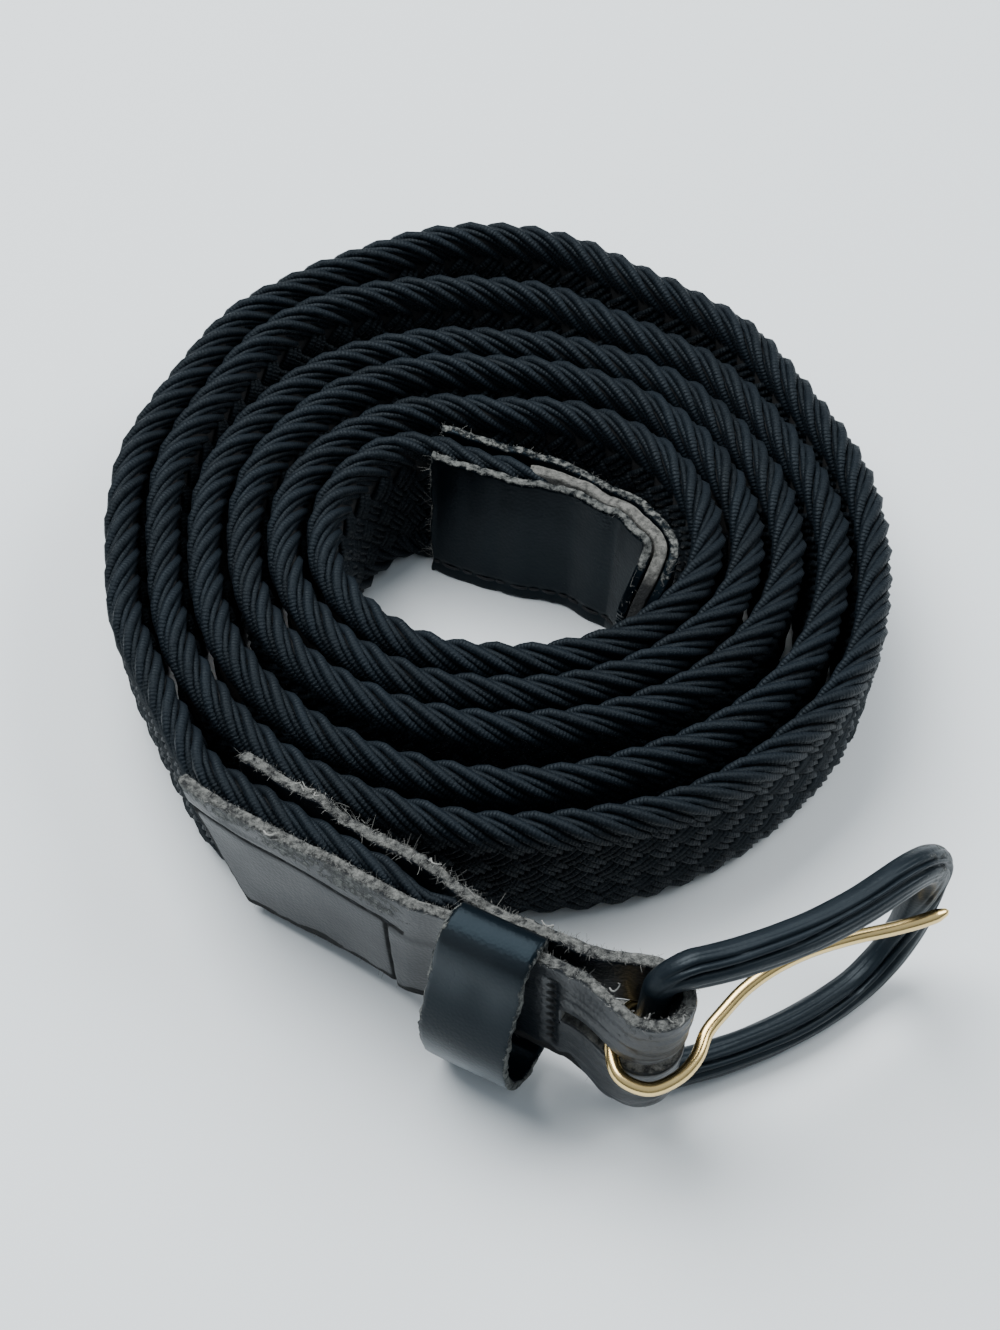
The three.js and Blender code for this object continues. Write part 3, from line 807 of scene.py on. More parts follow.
class Nodes:
    """Adds the usual nodes to one material's tree and hands back their outputs."""

    def __init__(self, name: str) -> None:
        """Makes the material and its shader."""
        self.material, self.tree, self.shader = new_material(name)
        self.place = add_node(self.tree, "ShaderNodeTexCoord").outputs["Object"]

    def number(self, name: str) -> Output:
        """A number that is kept for each vertex."""
        return add_node(self.tree, "ShaderNodeAttribute", attribute_name=name).outputs["Fac"]

    def noise(self, scale: float, detail: float = 2.0, roughness: float = 0.5) -> Output:
        """Cloudy noise in the piece's own space."""
        values = {"Scale": scale, "Detail": detail, "Roughness": roughness}
        links = {"Vector": self.place}
        return add_node(self.tree, "ShaderNodeTexNoise", values, links).outputs["Fac"]

    def math(self, operation: str, *parts: Output | float) -> Output:
        """A sum on outputs and numbers."""
        values = {k: part for k, part in enumerate(parts) if isinstance(part, float)}
        links = {k: part for k, part in enumerate(parts) if not isinstance(part, float)}
        return add_node(self.tree, "ShaderNodeMath", values, links, operation=operation).outputs[0]

    def ramp(
        self, value: Output, low: float, high: float, to_low: float = 0.0, to_high: float = 1.0,
    ) -> Output:
        """A value stretched from low and high to new ends."""
        values = {"From Min": low, "From Max": high, "To Min": to_low, "To Max": to_high}
        return add_node(self.tree, "ShaderNodeMapRange", values, {"Value": value}).outputs[0]

    def blend(self, share: Output, low: Output | str, high: Output | str) -> Output:
        """A colour between two, each an output or a hex value."""
        ends = {6: low, 7: high}
        values = {k: linear(end) for k, end in ends.items() if isinstance(end, str)}
        links = {k: end for k, end in ends.items() if not isinstance(end, str)}
        return add_node(self.tree, "ShaderNodeMix", values, {0: share} | links,
                        data_type="RGBA").outputs[2]

    def bump(
        self, height: Output, depth: float, strength: float = 1.0, normal: Output | None = None,
    ) -> Output:
        """Relief of a depth in mm, on top of another one if given."""
        links = {"Height": height}
        if normal is not None:
            links["Normal"] = normal
        values = {"Strength": strength, "Distance": depth / 1000}
        return add_node(self.tree, "ShaderNodeBump", values, links).outputs[0]

    def feed(self, parts: dict[str, Output | float | str]) -> bpy.types.Material:
        """Feeds the shader with outputs, numbers and hex colours, and returns the material."""
        for name, part in parts.items():
            entry = self.shader.inputs[name]
            if isinstance(part, bpy.types.NodeSocket):
                self.tree.links.new(part, entry)
            else:
                entry.default_value = linear(part) if isinstance(part, str) else part
        return self.material


@dataclass(frozen=True)
class WrappedCord:
    """Rubber cord wound with polyester yarn: dark, with a soft sheen and fine rings of yarn."""

    dark: str = "#010306"
    light: str = "#0b131a"
    tint: str = "#d6e6ef"
    sheen: str = "#a9b9c6"
    roughness: float = 0.56
    gloss: float = 0.22
    yarn_spacing: float = 0.45
    yarn_depth: float = 0.05

    def build(self, name: str) -> bpy.types.Material:
        """Makes the material."""
        nodes = Nodes(name)
        fluff = nodes.noise(1900.0, 4.0, 0.65)
        moved = nodes.math("ADD", nodes.number("run"), nodes.math("MULTIPLY", fluff, 0.5))
        turns = nodes.math("MULTIPLY", moved, 2 * math.pi / self.yarn_spacing)
        yarn = nodes.ramp(nodes.math("SINE", turns), -1.0, 1.0)
        # The tone number carries painted shade from the band: the lower cords of each group and the
        # inner face's cords are darker; the rest of it varies at random.
        shade = nodes.math("MULTIPLY_ADD", yarn, 0.25, nodes.number("tone"))
        mottle_and_shade = nodes.math("MULTIPLY_ADD", nodes.noise(90.0), 0.55, shade)
        height = nodes.math("MULTIPLY_ADD", fluff, 3.0, yarn)
        return nodes.feed({
            "Base Color": nodes.blend(nodes.ramp(mottle_and_shade, 0.1, 1.3), self.dark, self.light),
            "Normal": nodes.bump(height, self.yarn_depth),
            "Roughness": self.roughness,
            "Specular IOR Level": self.gloss,
            "Specular Tint": self.tint,
            "Sheen Weight": 0.02,
            "Sheen Roughness": 0.35,
            "Sheen Tint": self.sheen,
        })


@dataclass(frozen=True)
class DarkCore:
    """The band's hidden inside: almost black, seen only between its cords."""

    colour: str = "#06080b"

    def build(self, name: str) -> bpy.types.Material:
        """Makes the material."""
        nodes = Nodes(name)
        grain = nodes.bump(nodes.noise(900.0), 0.2, 0.8)
        return nodes.feed({"Base Color": self.colour, "Normal": grain, "Roughness": 0.9})


@dataclass(frozen=True)
class FinishedLeather:
    """Black finished cowhide: a soft gloss on fine pebbles, and pale fibres where it is cut."""

    dark: str = "#060b10"
    light: str = "#10181f"
    # Near black for dyed edges and for painted shade in the seam and the step.
    dye_shade_colour: str = "#020406"
    fibre_dark: str = "#1b1e20"
    fibre_light: str = "#737572"
    # Pale grey painted as a reflection, where the keeper's front mirrors the floor low down and the
    # sky near the top.
    reflection_paint: str = "#6d7478"
    roughness: float = 0.36
    raw_roughness: float = 0.95
    gloss: float = 0.5
    tint: str = "#ffffff"
    pebble: float = 0.45
    pebble_depth: float = 0.035
    fuzz_depth: float = 0.4

    def build(self, name: str) -> bpy.types.Material:
        """Makes the material."""
        nodes = Nodes(name)
        raw = nodes.number("raw")
        cloud = nodes.noise(110.0, 3.0)
        fibres = nodes.noise(2600.0, 4.0, 0.7)
        tufts = nodes.noise(1100.0, 5.0, 0.7)
        pebbles = add_node(nodes.tree, "ShaderNodeTexVoronoi", {"Scale": 1000 / self.pebble},
                           {"Vector": nodes.place}).outputs["Distance"]
        torn = nodes.math("MULTIPLY_ADD", tufts, 2.0, -1.0)
        cut = nodes.ramp(nodes.math("ADD", raw, torn), 0.45, 0.7)
        # Raw below zero paints the strap's front layer near black: dye together with painted shade
        # on its edges, seam and step.
        dye_and_painted_shade = nodes.ramp(raw, -0.3, -0.7)
        clean = nodes.blend(cloud, self.dark, self.light)
        # Painted reflection: the scuff number blends the face toward pale grey.
        with_reflection_paint = nodes.blend(nodes.number("painted_reflection"), clean, self.reflection_paint)
        face = nodes.blend(dye_and_painted_shade, with_reflection_paint, self.dye_shade_colour)
        flesh = nodes.blend(nodes.ramp(tufts, 0.36, 0.64), self.fibre_dark, self.fibre_light)
        gloss = nodes.ramp(cloud, 0.3, 0.7, self.roughness - 0.06, self.roughness + 0.1)
        rough = add_node(nodes.tree, "ShaderNodeMix", {3: self.raw_roughness},
                         {0: nodes.math("MAXIMUM", cut, dye_and_painted_shade), 2: gloss}).outputs[0]
        grain = nodes.bump(pebbles, self.pebble_depth)
        fuzz = nodes.math("MULTIPLY", fibres, cut)
        return nodes.feed({
            "Base Color": nodes.blend(cut, face, flesh),
            "Roughness": rough,
            "Normal": nodes.bump(fuzz, self.fuzz_depth, normal=grain),
            "Specular IOR Level": self.gloss,
            "Specular Tint": self.tint,
        })


@dataclass(frozen=True)
class SplitBoard:
    """Grey split leather board between the tip's leathers: matt and fibrous."""

    dark: str = "#373836"
    light: str = "#747470"
    dark_low: str = "#0d1012"
    fibre_depth: float = 0.4

    def build(self, name: str) -> bpy.types.Material:
        """Makes the material."""
        nodes = Nodes(name)
        fibres = nodes.noise(1300.0, 5.0, 0.7)
        board = nodes.blend(nodes.ramp(fibres, 0.35, 0.65), self.dark, self.light)
        # Darker towards the bottom of the tip's rounded end, where the raw number fades out.
        bare = nodes.ramp(nodes.number("raw"), 0.05, 0.45)
        return nodes.feed({
            "Base Color": nodes.blend(bare, self.dark_low, board),
            "Normal": nodes.bump(fibres, self.fibre_depth),
            "Roughness": 0.95,
        })


@dataclass(frozen=True)
class GoldPlate:
    """Pale gold plate on polished wire: bright, with faint drawing lines."""

    colour: str = "#edcf8f"
    roughness: float = 0.2

    def build(self, name: str) -> bpy.types.Material:
        """Makes the material."""
        nodes = Nodes(name)
        wear = nodes.noise(600.0, 3.0)
        return nodes.feed({
            "Base Color": self.colour,
            "Metallic": 1.0,
            "Roughness": nodes.ramp(wear, 0.0, 1.0, self.roughness - 0.06, self.roughness + 0.12),
            "Normal": nodes.bump(wear, 0.02, 0.3),
        })


@dataclass(frozen=True)
class Yarn:
    """Sewing thread or loose fibre: matt, in one shade that varies from piece to piece."""

    dark: str = "#0b0d10"
    light: str = "#1d2126"

    def build(self, name: str) -> bpy.types.Material:
        """Makes the material."""
        nodes = Nodes(name)
        colour = nodes.blend(nodes.number("tone"), self.dark, self.light)
        return nodes.feed({"Base Color": colour, "Roughness": 0.85})


# Sub-assemblies

@dataclass
class WovenBand:
    """The elastic band: cords that cross on its faces and turn over its edges."""

    route: Route
    pitch: float = 4.2
    cord_radius: float = 0.54
    cords: int = 3
    edge_spacing: float = 1.4
    crest_slope: float = 0.9
    crest_reach: float = 2.3
    # for each cord of a group: radius, rise and place along the crest
    crest_radii: tuple[float, ...] = (0.66, 0.45, 0.4)
    shingle: tuple[float, ...] = (0.12, -0.3, -0.9)
    crest_places: tuple[float, ...] = (-1.5, 0.3, 1.4)
    inner_dip: float = 0.35
    edge_reach: float = 3.0
    edge_rings: int = 13
    face_spacing: float = 0.97
    face_rows: int = 7
    float_length: float = 4.2
    seen_gap: float = 0.8
    seen_gap_inside: float = 0.42
    core_inset: float = 0.95
    seed: int = 11

    def build(self, cord: bpy.types.Material, core: bpy.types.Material) -> None:
        """Makes the core, the two edges and the two faces."""
        self._build_core(core)
        strand = Strand("cord", 5, self.edge_rings)
        for top in (True, False):
            self._build_edge(strand, cord, top)
        short = Strand("float", 5, 5)
        for side in (1, -1):
            self._build_face(short, cord, side)

    def _build_core(self, finish: bpy.types.Material) -> None:
        """The dark inside of the band."""
        route = self.route
        piece = tube_blank("braid_core", 16, (10, 48))
        points = points_of(piece)
        along = mix(route.band_from + 0.3, route.band_to - 2.5, points[:, 2] + 0.5)
        half = route.band_thickness(along) / 2 - self.core_inset
        angle = np.arctan2(points[:, 1], points[:, 0])
        rise = np.sin(angle)
        middle = np.sign(rise) * (route.sizes.width / 2 - self.core_inset - half)
        middle = np.where(np.abs(rise) < 1e-3, 0.0, middle)
        height = route.sizes.width / 2 + middle + half * rise
        across = half * np.cos(angle)
        put_points(piece, route.place(along, across, height))
        face_out(piece)
        finish_piece(piece, finish, "belt", "woven_elastic", "braid_band")

    def _build_edge(self, strand: Strand, finish: bpy.types.Material, top: bool) -> None:
        """Cords that turn over the top or the bottom edge."""
        route, sizes = self.route, self.route.sizes
        chance = np.random.default_rng(self.seed + top)
        start, end = route.band_from + 2.0, route.band_to + 0.5
        starts = np.arange(start, end, self.pitch) + (0 if top else self.pitch / 2)
        order = np.tile(np.arange(self.cords), len(starts))
        places = np.repeat(starts, self.cords) + chance.normal(0, 0.06, len(order))
        bend = math.pi / 2 * (sizes.thickness / 2 - self.cord_radius)
        reach = bend + self.edge_reach
        share = np.linspace(-1, 1, self.edge_rings)
        around = share * reach
        over = np.exp(-((around / self.crest_reach) ** 2))
        slope = 1.0 + self.crest_slope * over
        stride = np.concatenate([[0.0], np.cumsum((slope[1:] + slope[:-1]) / 2 * np.diff(around))])
        travel = stride - stride.mean()
        direction = 1 if top else -1
        even = ((order - 1) * self.edge_spacing)[:, None]
        grouped = np.array(self.crest_places)[order][:, None]
        along = places[:, None] + travel[None] + mix(even, grouped, over[None])
        inner = route.band_thickness(along) / 2 - self.cord_radius
        shingle = np.array(self.shingle)[order][:, None]
        lift = shingle * (0.3 + 0.7 * over)[None]
        lift = lift + chance.normal(0, 0.03, len(order))[:, None]
        lift = lift - self.inner_dip * ease((-around - 0.7) / 1.6)[None]
        sink = ease((np.abs(around) - (reach - 1.5)) / 1.5)[None]
        radius = inner + lift - sink
        angle = np.clip(around / bend, -1, 1)[None] * np.pi / 2
        down = np.maximum(np.abs(around) - bend, 0)[None]
        across = direction * np.sin(angle) * radius
        height = inner + self.cord_radius - radius * np.cos(angle)
        height = np.where(np.abs(angle) < np.pi / 2 - 1e-6, height, inner + self.cord_radius)
        height = height + down
        if top:
            height = sizes.width - height
        middles = route.place(along, across, height)
        outer = route.place(along, direction * np.sin(angle) * (radius + 1),
                            height + (1 if top else -1) * np.cos(angle))
        thick = mix(self.cord_radius, np.array(self.crest_radii)[order][:, None], over[None])
        thick = thick * (1 - 0.35 * ease((np.abs(share) - 0.85) / 0.15)[None])
        # Painted shade: the second and third cord of each group lie lower in the gaps between
        # groups and get a darker tone.
        tones = np.clip(chance.normal(0.55, 0.14, len(order)) - 0.14 * order, 0, 1)
        name = "braid_top_edge" if top else "braid_bottom_edge"
        piece = strand.lay(name, middles, thick, tones, outer - middles)
        finish_piece(piece, finish, "belt", "woven_elastic", "braid_band", angle=80)

    def _build_face(self, strand: Strand, finish: bpy.types.Material, side: int) -> None:
        """Cords that cross on one face, where it can be seen."""
        route, sizes = self.route, self.route.sizes
        chance = np.random.default_rng(self.seed + 5 + side)
        first = route.mouth - 3.0 if side > 0 else route.mouth + 0.5
        last = route.tab + (7.0 if side > 0 else 5.0)
        places, heights, leans = [], [], []
        rows = self.face_rows if side > 0 else self.face_rows - 2
        for row in range(rows):
            height = sizes.width / 2 + self.pitch / 2 * (row - (rows - 1) / 2)
            stagger = self.pitch / 2 * (row % 2)
            along = np.arange(first, last, self.pitch) + stagger
            places.append(along)
            heights.append(np.full(len(along), height))
            leans.append(np.full(len(along), 1.0 if row % 2 else -1.0))
        along, height, lean = (np.concatenate(part) for part in (places, heights, leans))
        least = self.seen_gap if side > 0 else self.seen_gap_inside
        seen = route.side_gap(along, side) > least
        along, height, lean = along[seen], height[seen], lean[seen]
        order = np.arange(self.cords) - 1
        diagonal = math.sqrt(0.5)
        shift = order[None] * self.face_spacing * diagonal
        along = (along[:, None] - lean[:, None] * shift).ravel()
        height = (height[:, None] + shift).ravel()
        lean = np.repeat(lean, self.cords)
        share = np.linspace(-1, 1, strand.rings)
        reach = self.float_length / 2 * share
        run = along[:, None] + diagonal * reach[None]
        rise = height[:, None] + lean[:, None] * diagonal * reach[None]
        surface = route.band_thickness(run) / 2 - self.cord_radius
        wander = chance.normal(0, 0.05, len(along))[:, None]
        depth = surface + 0.06 + wander - 0.9 * np.abs(share[None]) ** 3
        middles = route.place(run, side * depth, rise)
        outer = route.place(run, side * (depth + 1), rise)
        thick = np.full(middles.shape[:2], self.cord_radius)
        thick[:, [0, -1]] *= 0.6
        # Painted shade: cords on the inner face, which lies on the shaded inside of a turn, get a
        # darker tone than those on the outer face.
        tones = np.clip(chance.normal(0.3 if side > 0 else 0.0, 0.12, len(along)), 0, 1)
        name = "braid_outer_face" if side > 0 else "braid_inner_face"
        piece = strand.lay(name, middles, thick, tones, outer - middles)
        finish_piece(piece, finish, "belt", "woven_elastic", "braid_band", angle=80)


class Cut(Enum):
    """How a leather's cut edge has worn."""

    WORN = 0.2
    TORN = 0.34


def roughen(flat: Array, length: float, width: float, wear: Cut, seed: int) -> Array:
    """Moves the edge of a flat piece of leather in and out.

    Args:
        flat: its vertices before it is laid, in mm.
        length: its size along x.
        width: its size along y.
        wear: how ragged the edge is.
        seed: number that fixes the pattern.

    Returns:
        The moved vertices.
    """
    moved = flat.copy()
    for axis, size in ((0, length), (1, width)):
        other = flat[:, [1 - axis, 2]] if axis == 0 else flat[:, [0, 2]]
        coarse = lumps(other * (1, 0.5) + axis * 91.0, 2.3, seed)
        fine = lumps(other * (1, 0.4) + axis * 57.0, 0.75, seed + 1)
        for border, sign in ((0.0, -1.0), (size, 1.0)):
            near = 1 - ease(np.abs(flat[:, axis] - border) / 1.2)
            moved[:, axis] += sign * near * wear.value * (0.7 * coarse + 0.45 * fine - 0.2)
    return moved


def rawness(flat: Array, length: float, width: float, thickness: float, fade: float) -> Array:
    """How much of the cut shows at each vertex: 1 on a cut edge, and 0 well inside.

    Args:
        flat: vertices before the piece is laid, in mm.
        length: its size along x.
        width: its size along y.
        thickness: its size along z.
        fade: how far the pale fibres reach over the face.

    Returns:
        One number for each vertex.
    """
    to_end = np.minimum(flat[:, 0], length - flat[:, 0])
    to_side = np.minimum(flat[:, 1], width - flat[:, 1])
    inside = np.minimum(to_end, to_side)
    deep = np.abs(flat[:, 2]) < thickness / 2 - 0.12
    face = np.clip(0.7 - 0.7 * inside / fade, 0, 0.7)
    return np.where(deep, 0.84, face)


@dataclass
class LeatherTip:
    """The belt's stiff end: two leathers with a grey board between them."""

    route: Route
    step: float = 0.5
    round_edge: float = 0.28
    seam_height: float = 1.9
    fibres: int = 1300
    seed: int = 31

    def build(self, leather: bpy.types.Material, board: bpy.types.Material) -> None:
        """Makes the two leathers and the board."""
        sizes = self.route.sizes
        length = sizes.tip_length
        for name, side in (("tip_inner", -1), ("tip_outer", 1)):
            self._layer(f"{name}_layer", side, length, sizes.tip_leather, leather,
                        "smooth_leather", f"{name}_leather")
        self._layer("tip_board", 0, length - sizes.tip_grip - 2 * sizes.part_gap, sizes.filler,
                    board, "split_leather", "tip_filler")

    def _layer(
        self, name: str, side: int, length: float, thickness: float,
        finish: bpy.types.Material, slot: str, node: str,
    ) -> None:
        """Makes one layer, inside (-1), outside (1) or between (0)."""
        route, sizes = self.route, self.route.sizes
        width = sizes.width
        piece = leather_blank(name, length, width, thickness, self.step, self.round_edge)
        flat = points_of(piece)
        raw = rawness(flat, length, width, thickness, 0.5)
        at_mouth = ease((flat[:, 0] - length + 1.5) / 1.0)
        upper = ease((flat[:, 1] - 11.0) / 5.0) * ease((flat[:, 0] - 2.0) / 3.0)
        raw = raw * np.maximum(at_mouth, upper) * (0.75 if side > 0 else 1.0)
        # The board's raw number is high only on its upper part, so it is darker towards the bottom.
        raw = raw if side else upper
        flat = roughen(flat, length, width, Cut.TORN if side else Cut.WORN, self.seed + side)
        half_width = width / 2
        along = route.tip + flat[:, 0]
        inside = np.clip(1 - flat[:, 0] / half_width, 0, 0.98)
        half = half_width * np.sqrt(1 - inside**2)
        height = half_width + (flat[:, 1] / half_width - 1) * half
        hold = np.zeros(len(flat))
        if side:
            over_board = sizes.filler / 2 + sizes.part_gap
            over_band = sizes.pinched / 2 + sizes.part_gap
            share = ease((along - route.band_from) / sizes.pinch_run + 1)
            hold = mix(over_board, over_band, share) + thickness / 2
        depth = flat[:, 2] * (side or 1)
        outer = np.clip(depth / thickness + 0.5, 0, 1)
        waves = 0.07 * lumps(flat[:, :2], 9.0, self.seed + 3)
        puffs = 0.012 * lumps(flat[:, :2], 2.4, self.seed + 4)
        seam = np.exp(-(((flat[:, 1] - self.seam_height) / 0.3) ** 2)) * 0.18
        relief = outer * (waves + puffs - (seam if side else 0))
        across = side * (hold + depth + relief) if side else depth + relief
        put_points(piece, route.place(along, across, height))
        put_numbers(piece.data, "raw", raw)
        face_out(piece)
        finish_piece(piece, finish, "belt", slot, node)

    def trim(self, thread: bpy.types.Material, fibre: bpy.types.Material) -> None:
        """Makes the stitches of the tip and the loose fibres on its cut edges."""
        route, sizes = self.route, self.route.sizes
        chance = np.random.default_rng(self.seed + 50)
        starts = np.arange(9.0, sizes.tip_length - 1.0, 2.2)
        share = np.linspace(0, 1, 5)
        along = route.tip + starts[:, None] + 1.6 * share[None]
        hold = sizes.pinched / 2 + sizes.part_gap
        over = sizes.filler / 2 + sizes.part_gap
        reach = mix(over, hold, ease((along - route.band_from) / sizes.pinch_run + 1))
        reach = reach + sizes.tip_leather - 0.2 + 0.22 * np.sin(np.pi * share)[None]
        middles = route.place(along, -reach, self.seam_height)
        facing = route.place(along, -reach - 1, self.seam_height) - middles
        piece = Strand("stitch", 6, 5).lay(
            "tip_stitches", middles, np.full(along.shape, 0.2),
            np.linspace(0.2, 0.8, len(starts)), facing)
        finish_piece(piece, thread, "belt", "smooth_leather", "tip_inner_leather")
        count = self.fibres
        run = chance.uniform(0, sizes.tip_length, count)
        end = chance.uniform(0, 1, count) < 0.25
        run = np.where(end, sizes.tip_length, run)
        inside = np.clip(1 - run / (sizes.width / 2), 0, 0.98)
        high = sizes.width / 2 * (1 + np.sqrt(1 - inside**2))
        height = np.where(end, chance.uniform(1, 19.5, count), high - 0.1)
        side = np.where(chance.uniform(0, 1, count) < 0.55, -1, 1)
        along = route.tip + run
        reach = mix(over, hold, ease((along - route.band_from) / sizes.pinch_run + 1))
        across = side * (reach + chance.uniform(0.1, 1.1, count))
        roots = route.place(along - 0.15 * end, across, height)
        tips = route.place(along + end, across, height + (1 - end))
        length = chance.gamma(2.2, 0.09, count) * np.where(end, 1.7, 0.8)
        piece = grow_fibres("tip_fibres", roots, tips - roots, length, self.seed + 51, 0.028)
        finish_piece(piece, fibre, "belt", "smooth_leather", "tip_inner_leather")


@dataclass
class BuckleStrap:
    """The leather folded round the buckle's bar and sewn over the band."""

    route: Route
    step: float = 0.38
    round_edge: float = 0.35
    cut_slant: float = 7.0
    back_short: float = 2.7
    slot_reach: float = 11.0
    slot_height: float = 2.35
    seam_height: float = 16.4
    seam_fall: float = 0.1
    seam_end: float = 30.0
    step_at: float = 25.8
    step_slant: float = 0.1
    holes_at: float = 48.3
    hole_pitch: float = 1.7
    hole_row: tuple[float, float] = (2.4, 17.5)
    fibres: int = 4200
    seed: int = 53
    # for each loose thread: run, height, depth, lean along, rise, sweep
    threads: tuple[tuple[float, ...], ...] = (
        (54.6, 19.6, -1.1, 0.9, 2.6, 0.5), (59.4, 19.3, -1.0, 0.5, 0.9, 0.3),
        (62.6, 19.6, 0.4, 1.4, 0.6, 0.4), (63.4, 19.5, -0.2, -1.1, 0.9, -0.4),
        (118.4, 20.1, 0.2, 1.2, 1.3, -0.7), (117.6, 20.2, 0.0, -0.9, 1.0, 0.5),
        (119.2, 20.2, -0.2, 0.3, 1.6, 0.9), (12.0, 19.9, 0.5, 1.6, 0.5, 0.6),
        (101.0, 19.9, 0.3, -1.8, 0.9, 0.6), (84.0, 19.8, 0.5, 1.3, 0.8, -0.5),
    )

    def fold_point(self, run: Array, height: Array, depth: Array) -> tuple[Array, Array]:
        """Where a place on the flat strap lies once it is folded.

        Args:
            run: length from the front layer's cut end.
            height: height above the lower edge.
            depth: distance outwards from the middle of the leather.

        Returns:
            The points, and the directions out of the leather's face.
        """
        route, sizes, turn = self.route, self.route.sizes, self.turn
        front = run < sizes.tab_length
        back = run > sizes.tab_length + turn
        share = np.where(front, run / sizes.tab_length,
                         np.clip((2 * sizes.tab_length + turn - run) / sizes.tab_length, 0, 1))
        slant = self.cut_slant * (1 - height / sizes.width)
        cut = np.where(front, slant, self.back_short)
        along = route.tab + mix(cut, sizes.tab_length, share)
        along = np.where(front | back, along, route.bar)
        angle = np.clip((run - sizes.tab_length) / turn, 0, 1) * np.pi
        side = route.outward(along)
        end = route.strap_end[:2]
        folded = side * np.cos(angle)[:, None] + end * np.sin(angle)[:, None]
        reach = route.hold(along) + sizes.strap_leather / 2 + depth
        point = route.place(along, reach, height, outward=folded)
        beyond = route.place(along, reach + 1, height, outward=folded)
        return point, beyond - point

    def _above_seam(self, run: Array, height: Array) -> Array:
        """Height above the front layer's seam, which falls towards the buckle."""
        return height - self.seam_height + self.seam_fall * np.minimum(run, self.seam_end)

    @property
    def turn(self) -> float:
        """Length of leather in the fold."""
        sizes = self.route.sizes
        return math.pi * (sizes.bar_room + sizes.strap_leather / 2)

    @property
    def length(self) -> float:
        """Length of the flat strap."""
        return 2 * self.route.sizes.tab_length + self.turn

    def build(self, leather: bpy.types.Material) -> None:
        """Makes the strap."""
        sizes = self.route.sizes
        thickness = sizes.strap_leather
        middle = self.length / 2
        hole = (middle - self.slot_reach - 4, middle + self.slot_reach + 4,
                sizes.width / 2 - self.slot_height / 2, sizes.width / 2 + self.slot_height / 2)
        piece = leather_blank("strap_leather", self.length, sizes.width, thickness, self.step,
                              self.round_edge, hole)
        flat = points_of(piece)
        raw = rawness(flat, self.length, sizes.width, thickness, 0.45)
        # Raw below zero marks dye and painted shade on the front layer's edges, seam, step and
        # holes.
        raw = np.maximum(raw, self._fuzz(flat)) - self._dye_and_painted_shade(flat)
        flat = roughen(flat, self.length, sizes.width, Cut.TORN, self.seed)
        flat[:, 1] += self._ragged(flat)
        outer = np.clip(flat[:, 2] / thickness + 0.5, 0, 1)
        depth = flat[:, 2] + outer * self._relief(flat)
        points, _ = self.fold_point(flat[:, 0], flat[:, 1], depth)
        put_points(piece, points)
        put_numbers(piece.data, "raw", raw)
        face_out(piece)
        finish_piece(piece, leather, "belt", "smooth_leather", "buckle_strap")

    def sew(self, thread: bpy.types.Material) -> None:
        """Makes the stitches in the front layer's seam."""
        pitch, reach = 2.3, 1.75
        starts = np.arange(1.2, self.seam_end - 2, pitch)
        share = np.linspace(0, 1, 5)
        run = starts[:, None] + reach * share[None]
        rise = -0.22 + 0.3 * np.sin(np.pi * share)[None] + np.zeros_like(run)
        height = self.seam_height - self.seam_fall * run
        flat = [part.ravel() for part in (run, height, rise)]
        relief = self._relief(np.stack([flat[0], flat[1], np.full(len(flat[0]), 0.75)], -1))
        depth = self.route.sizes.strap_leather / 2 + flat[2] + relief
        points, facing = self.fold_point(flat[0], flat[1], depth)
        count = len(starts)
        piece = Strand("stitch", 6, 5).lay(
            "strap_stitches", points.reshape(count, 5, 3), np.full((count, 5), 0.2),
            np.linspace(0.2, 0.8, count), facing.reshape(count, 5, 3))
        finish_piece(piece, thread, "belt", "smooth_leather", "buckle_strap")

    def fray(self, fibre: bpy.types.Material) -> None:
        """Makes the loose fibres on the cut edges."""
        chance = np.random.default_rng(self.seed + 40)
        count = self.fibres
        run = chance.uniform(0, self.length, count)
        long = np.where(run > self.length / 2, 1.0, 0.5)
        near = np.exp(-(((run - self.length + 26) / 14) ** 2))
        depth = chance.uniform(-0.75, 0.8, count)
        top = chance.uniform(0, 1, count) < 0.82
        height = np.where(top, self.route.sizes.width - 0.1, 0.5)
        height = height + top * self._ragged(np.stack([run, height, depth], -1))
        roots, _ = self.fold_point(run, height, depth)
        tips, _ = self.fold_point(run, height + np.where(top, 1.0, -0.6), depth * 1.6)
        length = chance.gamma(2.2, 0.085, count) * (0.6 + 0.6 * long + 0.9 * near)
        piece = grow_fibres("strap_fibres", roots, tips - roots, length, self.seed + 41, 0.028)
        finish_piece(piece, fibre, "belt", "smooth_leather", "buckle_strap")

    def loose_threads(self, fibre: bpy.types.Material) -> None:
        """Makes the few thread ends that stand out of the fold and the torn edge."""
        share = np.linspace(0, 1, 7)
        lines, facings = [], []
        for run, height, depth, lean, rise, sweep in self.threads:
            runs = run + lean * share + sweep * np.sin(np.pi * share)
            points, facing = self.fold_point(
                runs, height + rise * share, np.full(7, depth) + 0.3 * np.sin(2 * np.pi * share))
            lines.append(points)
            facings.append(facing)
        count = len(lines)
        radii = np.full((count, 7), 0.11) * (1 - 0.5 * share[None] ** 2)
        piece = Strand("thread", 5, 7).lay(
            "strap_threads", np.array(lines), radii, np.linspace(0.7, 1, count),
            np.array(facings))
        finish_piece(piece, fibre, "belt", "smooth_leather", "buckle_strap")

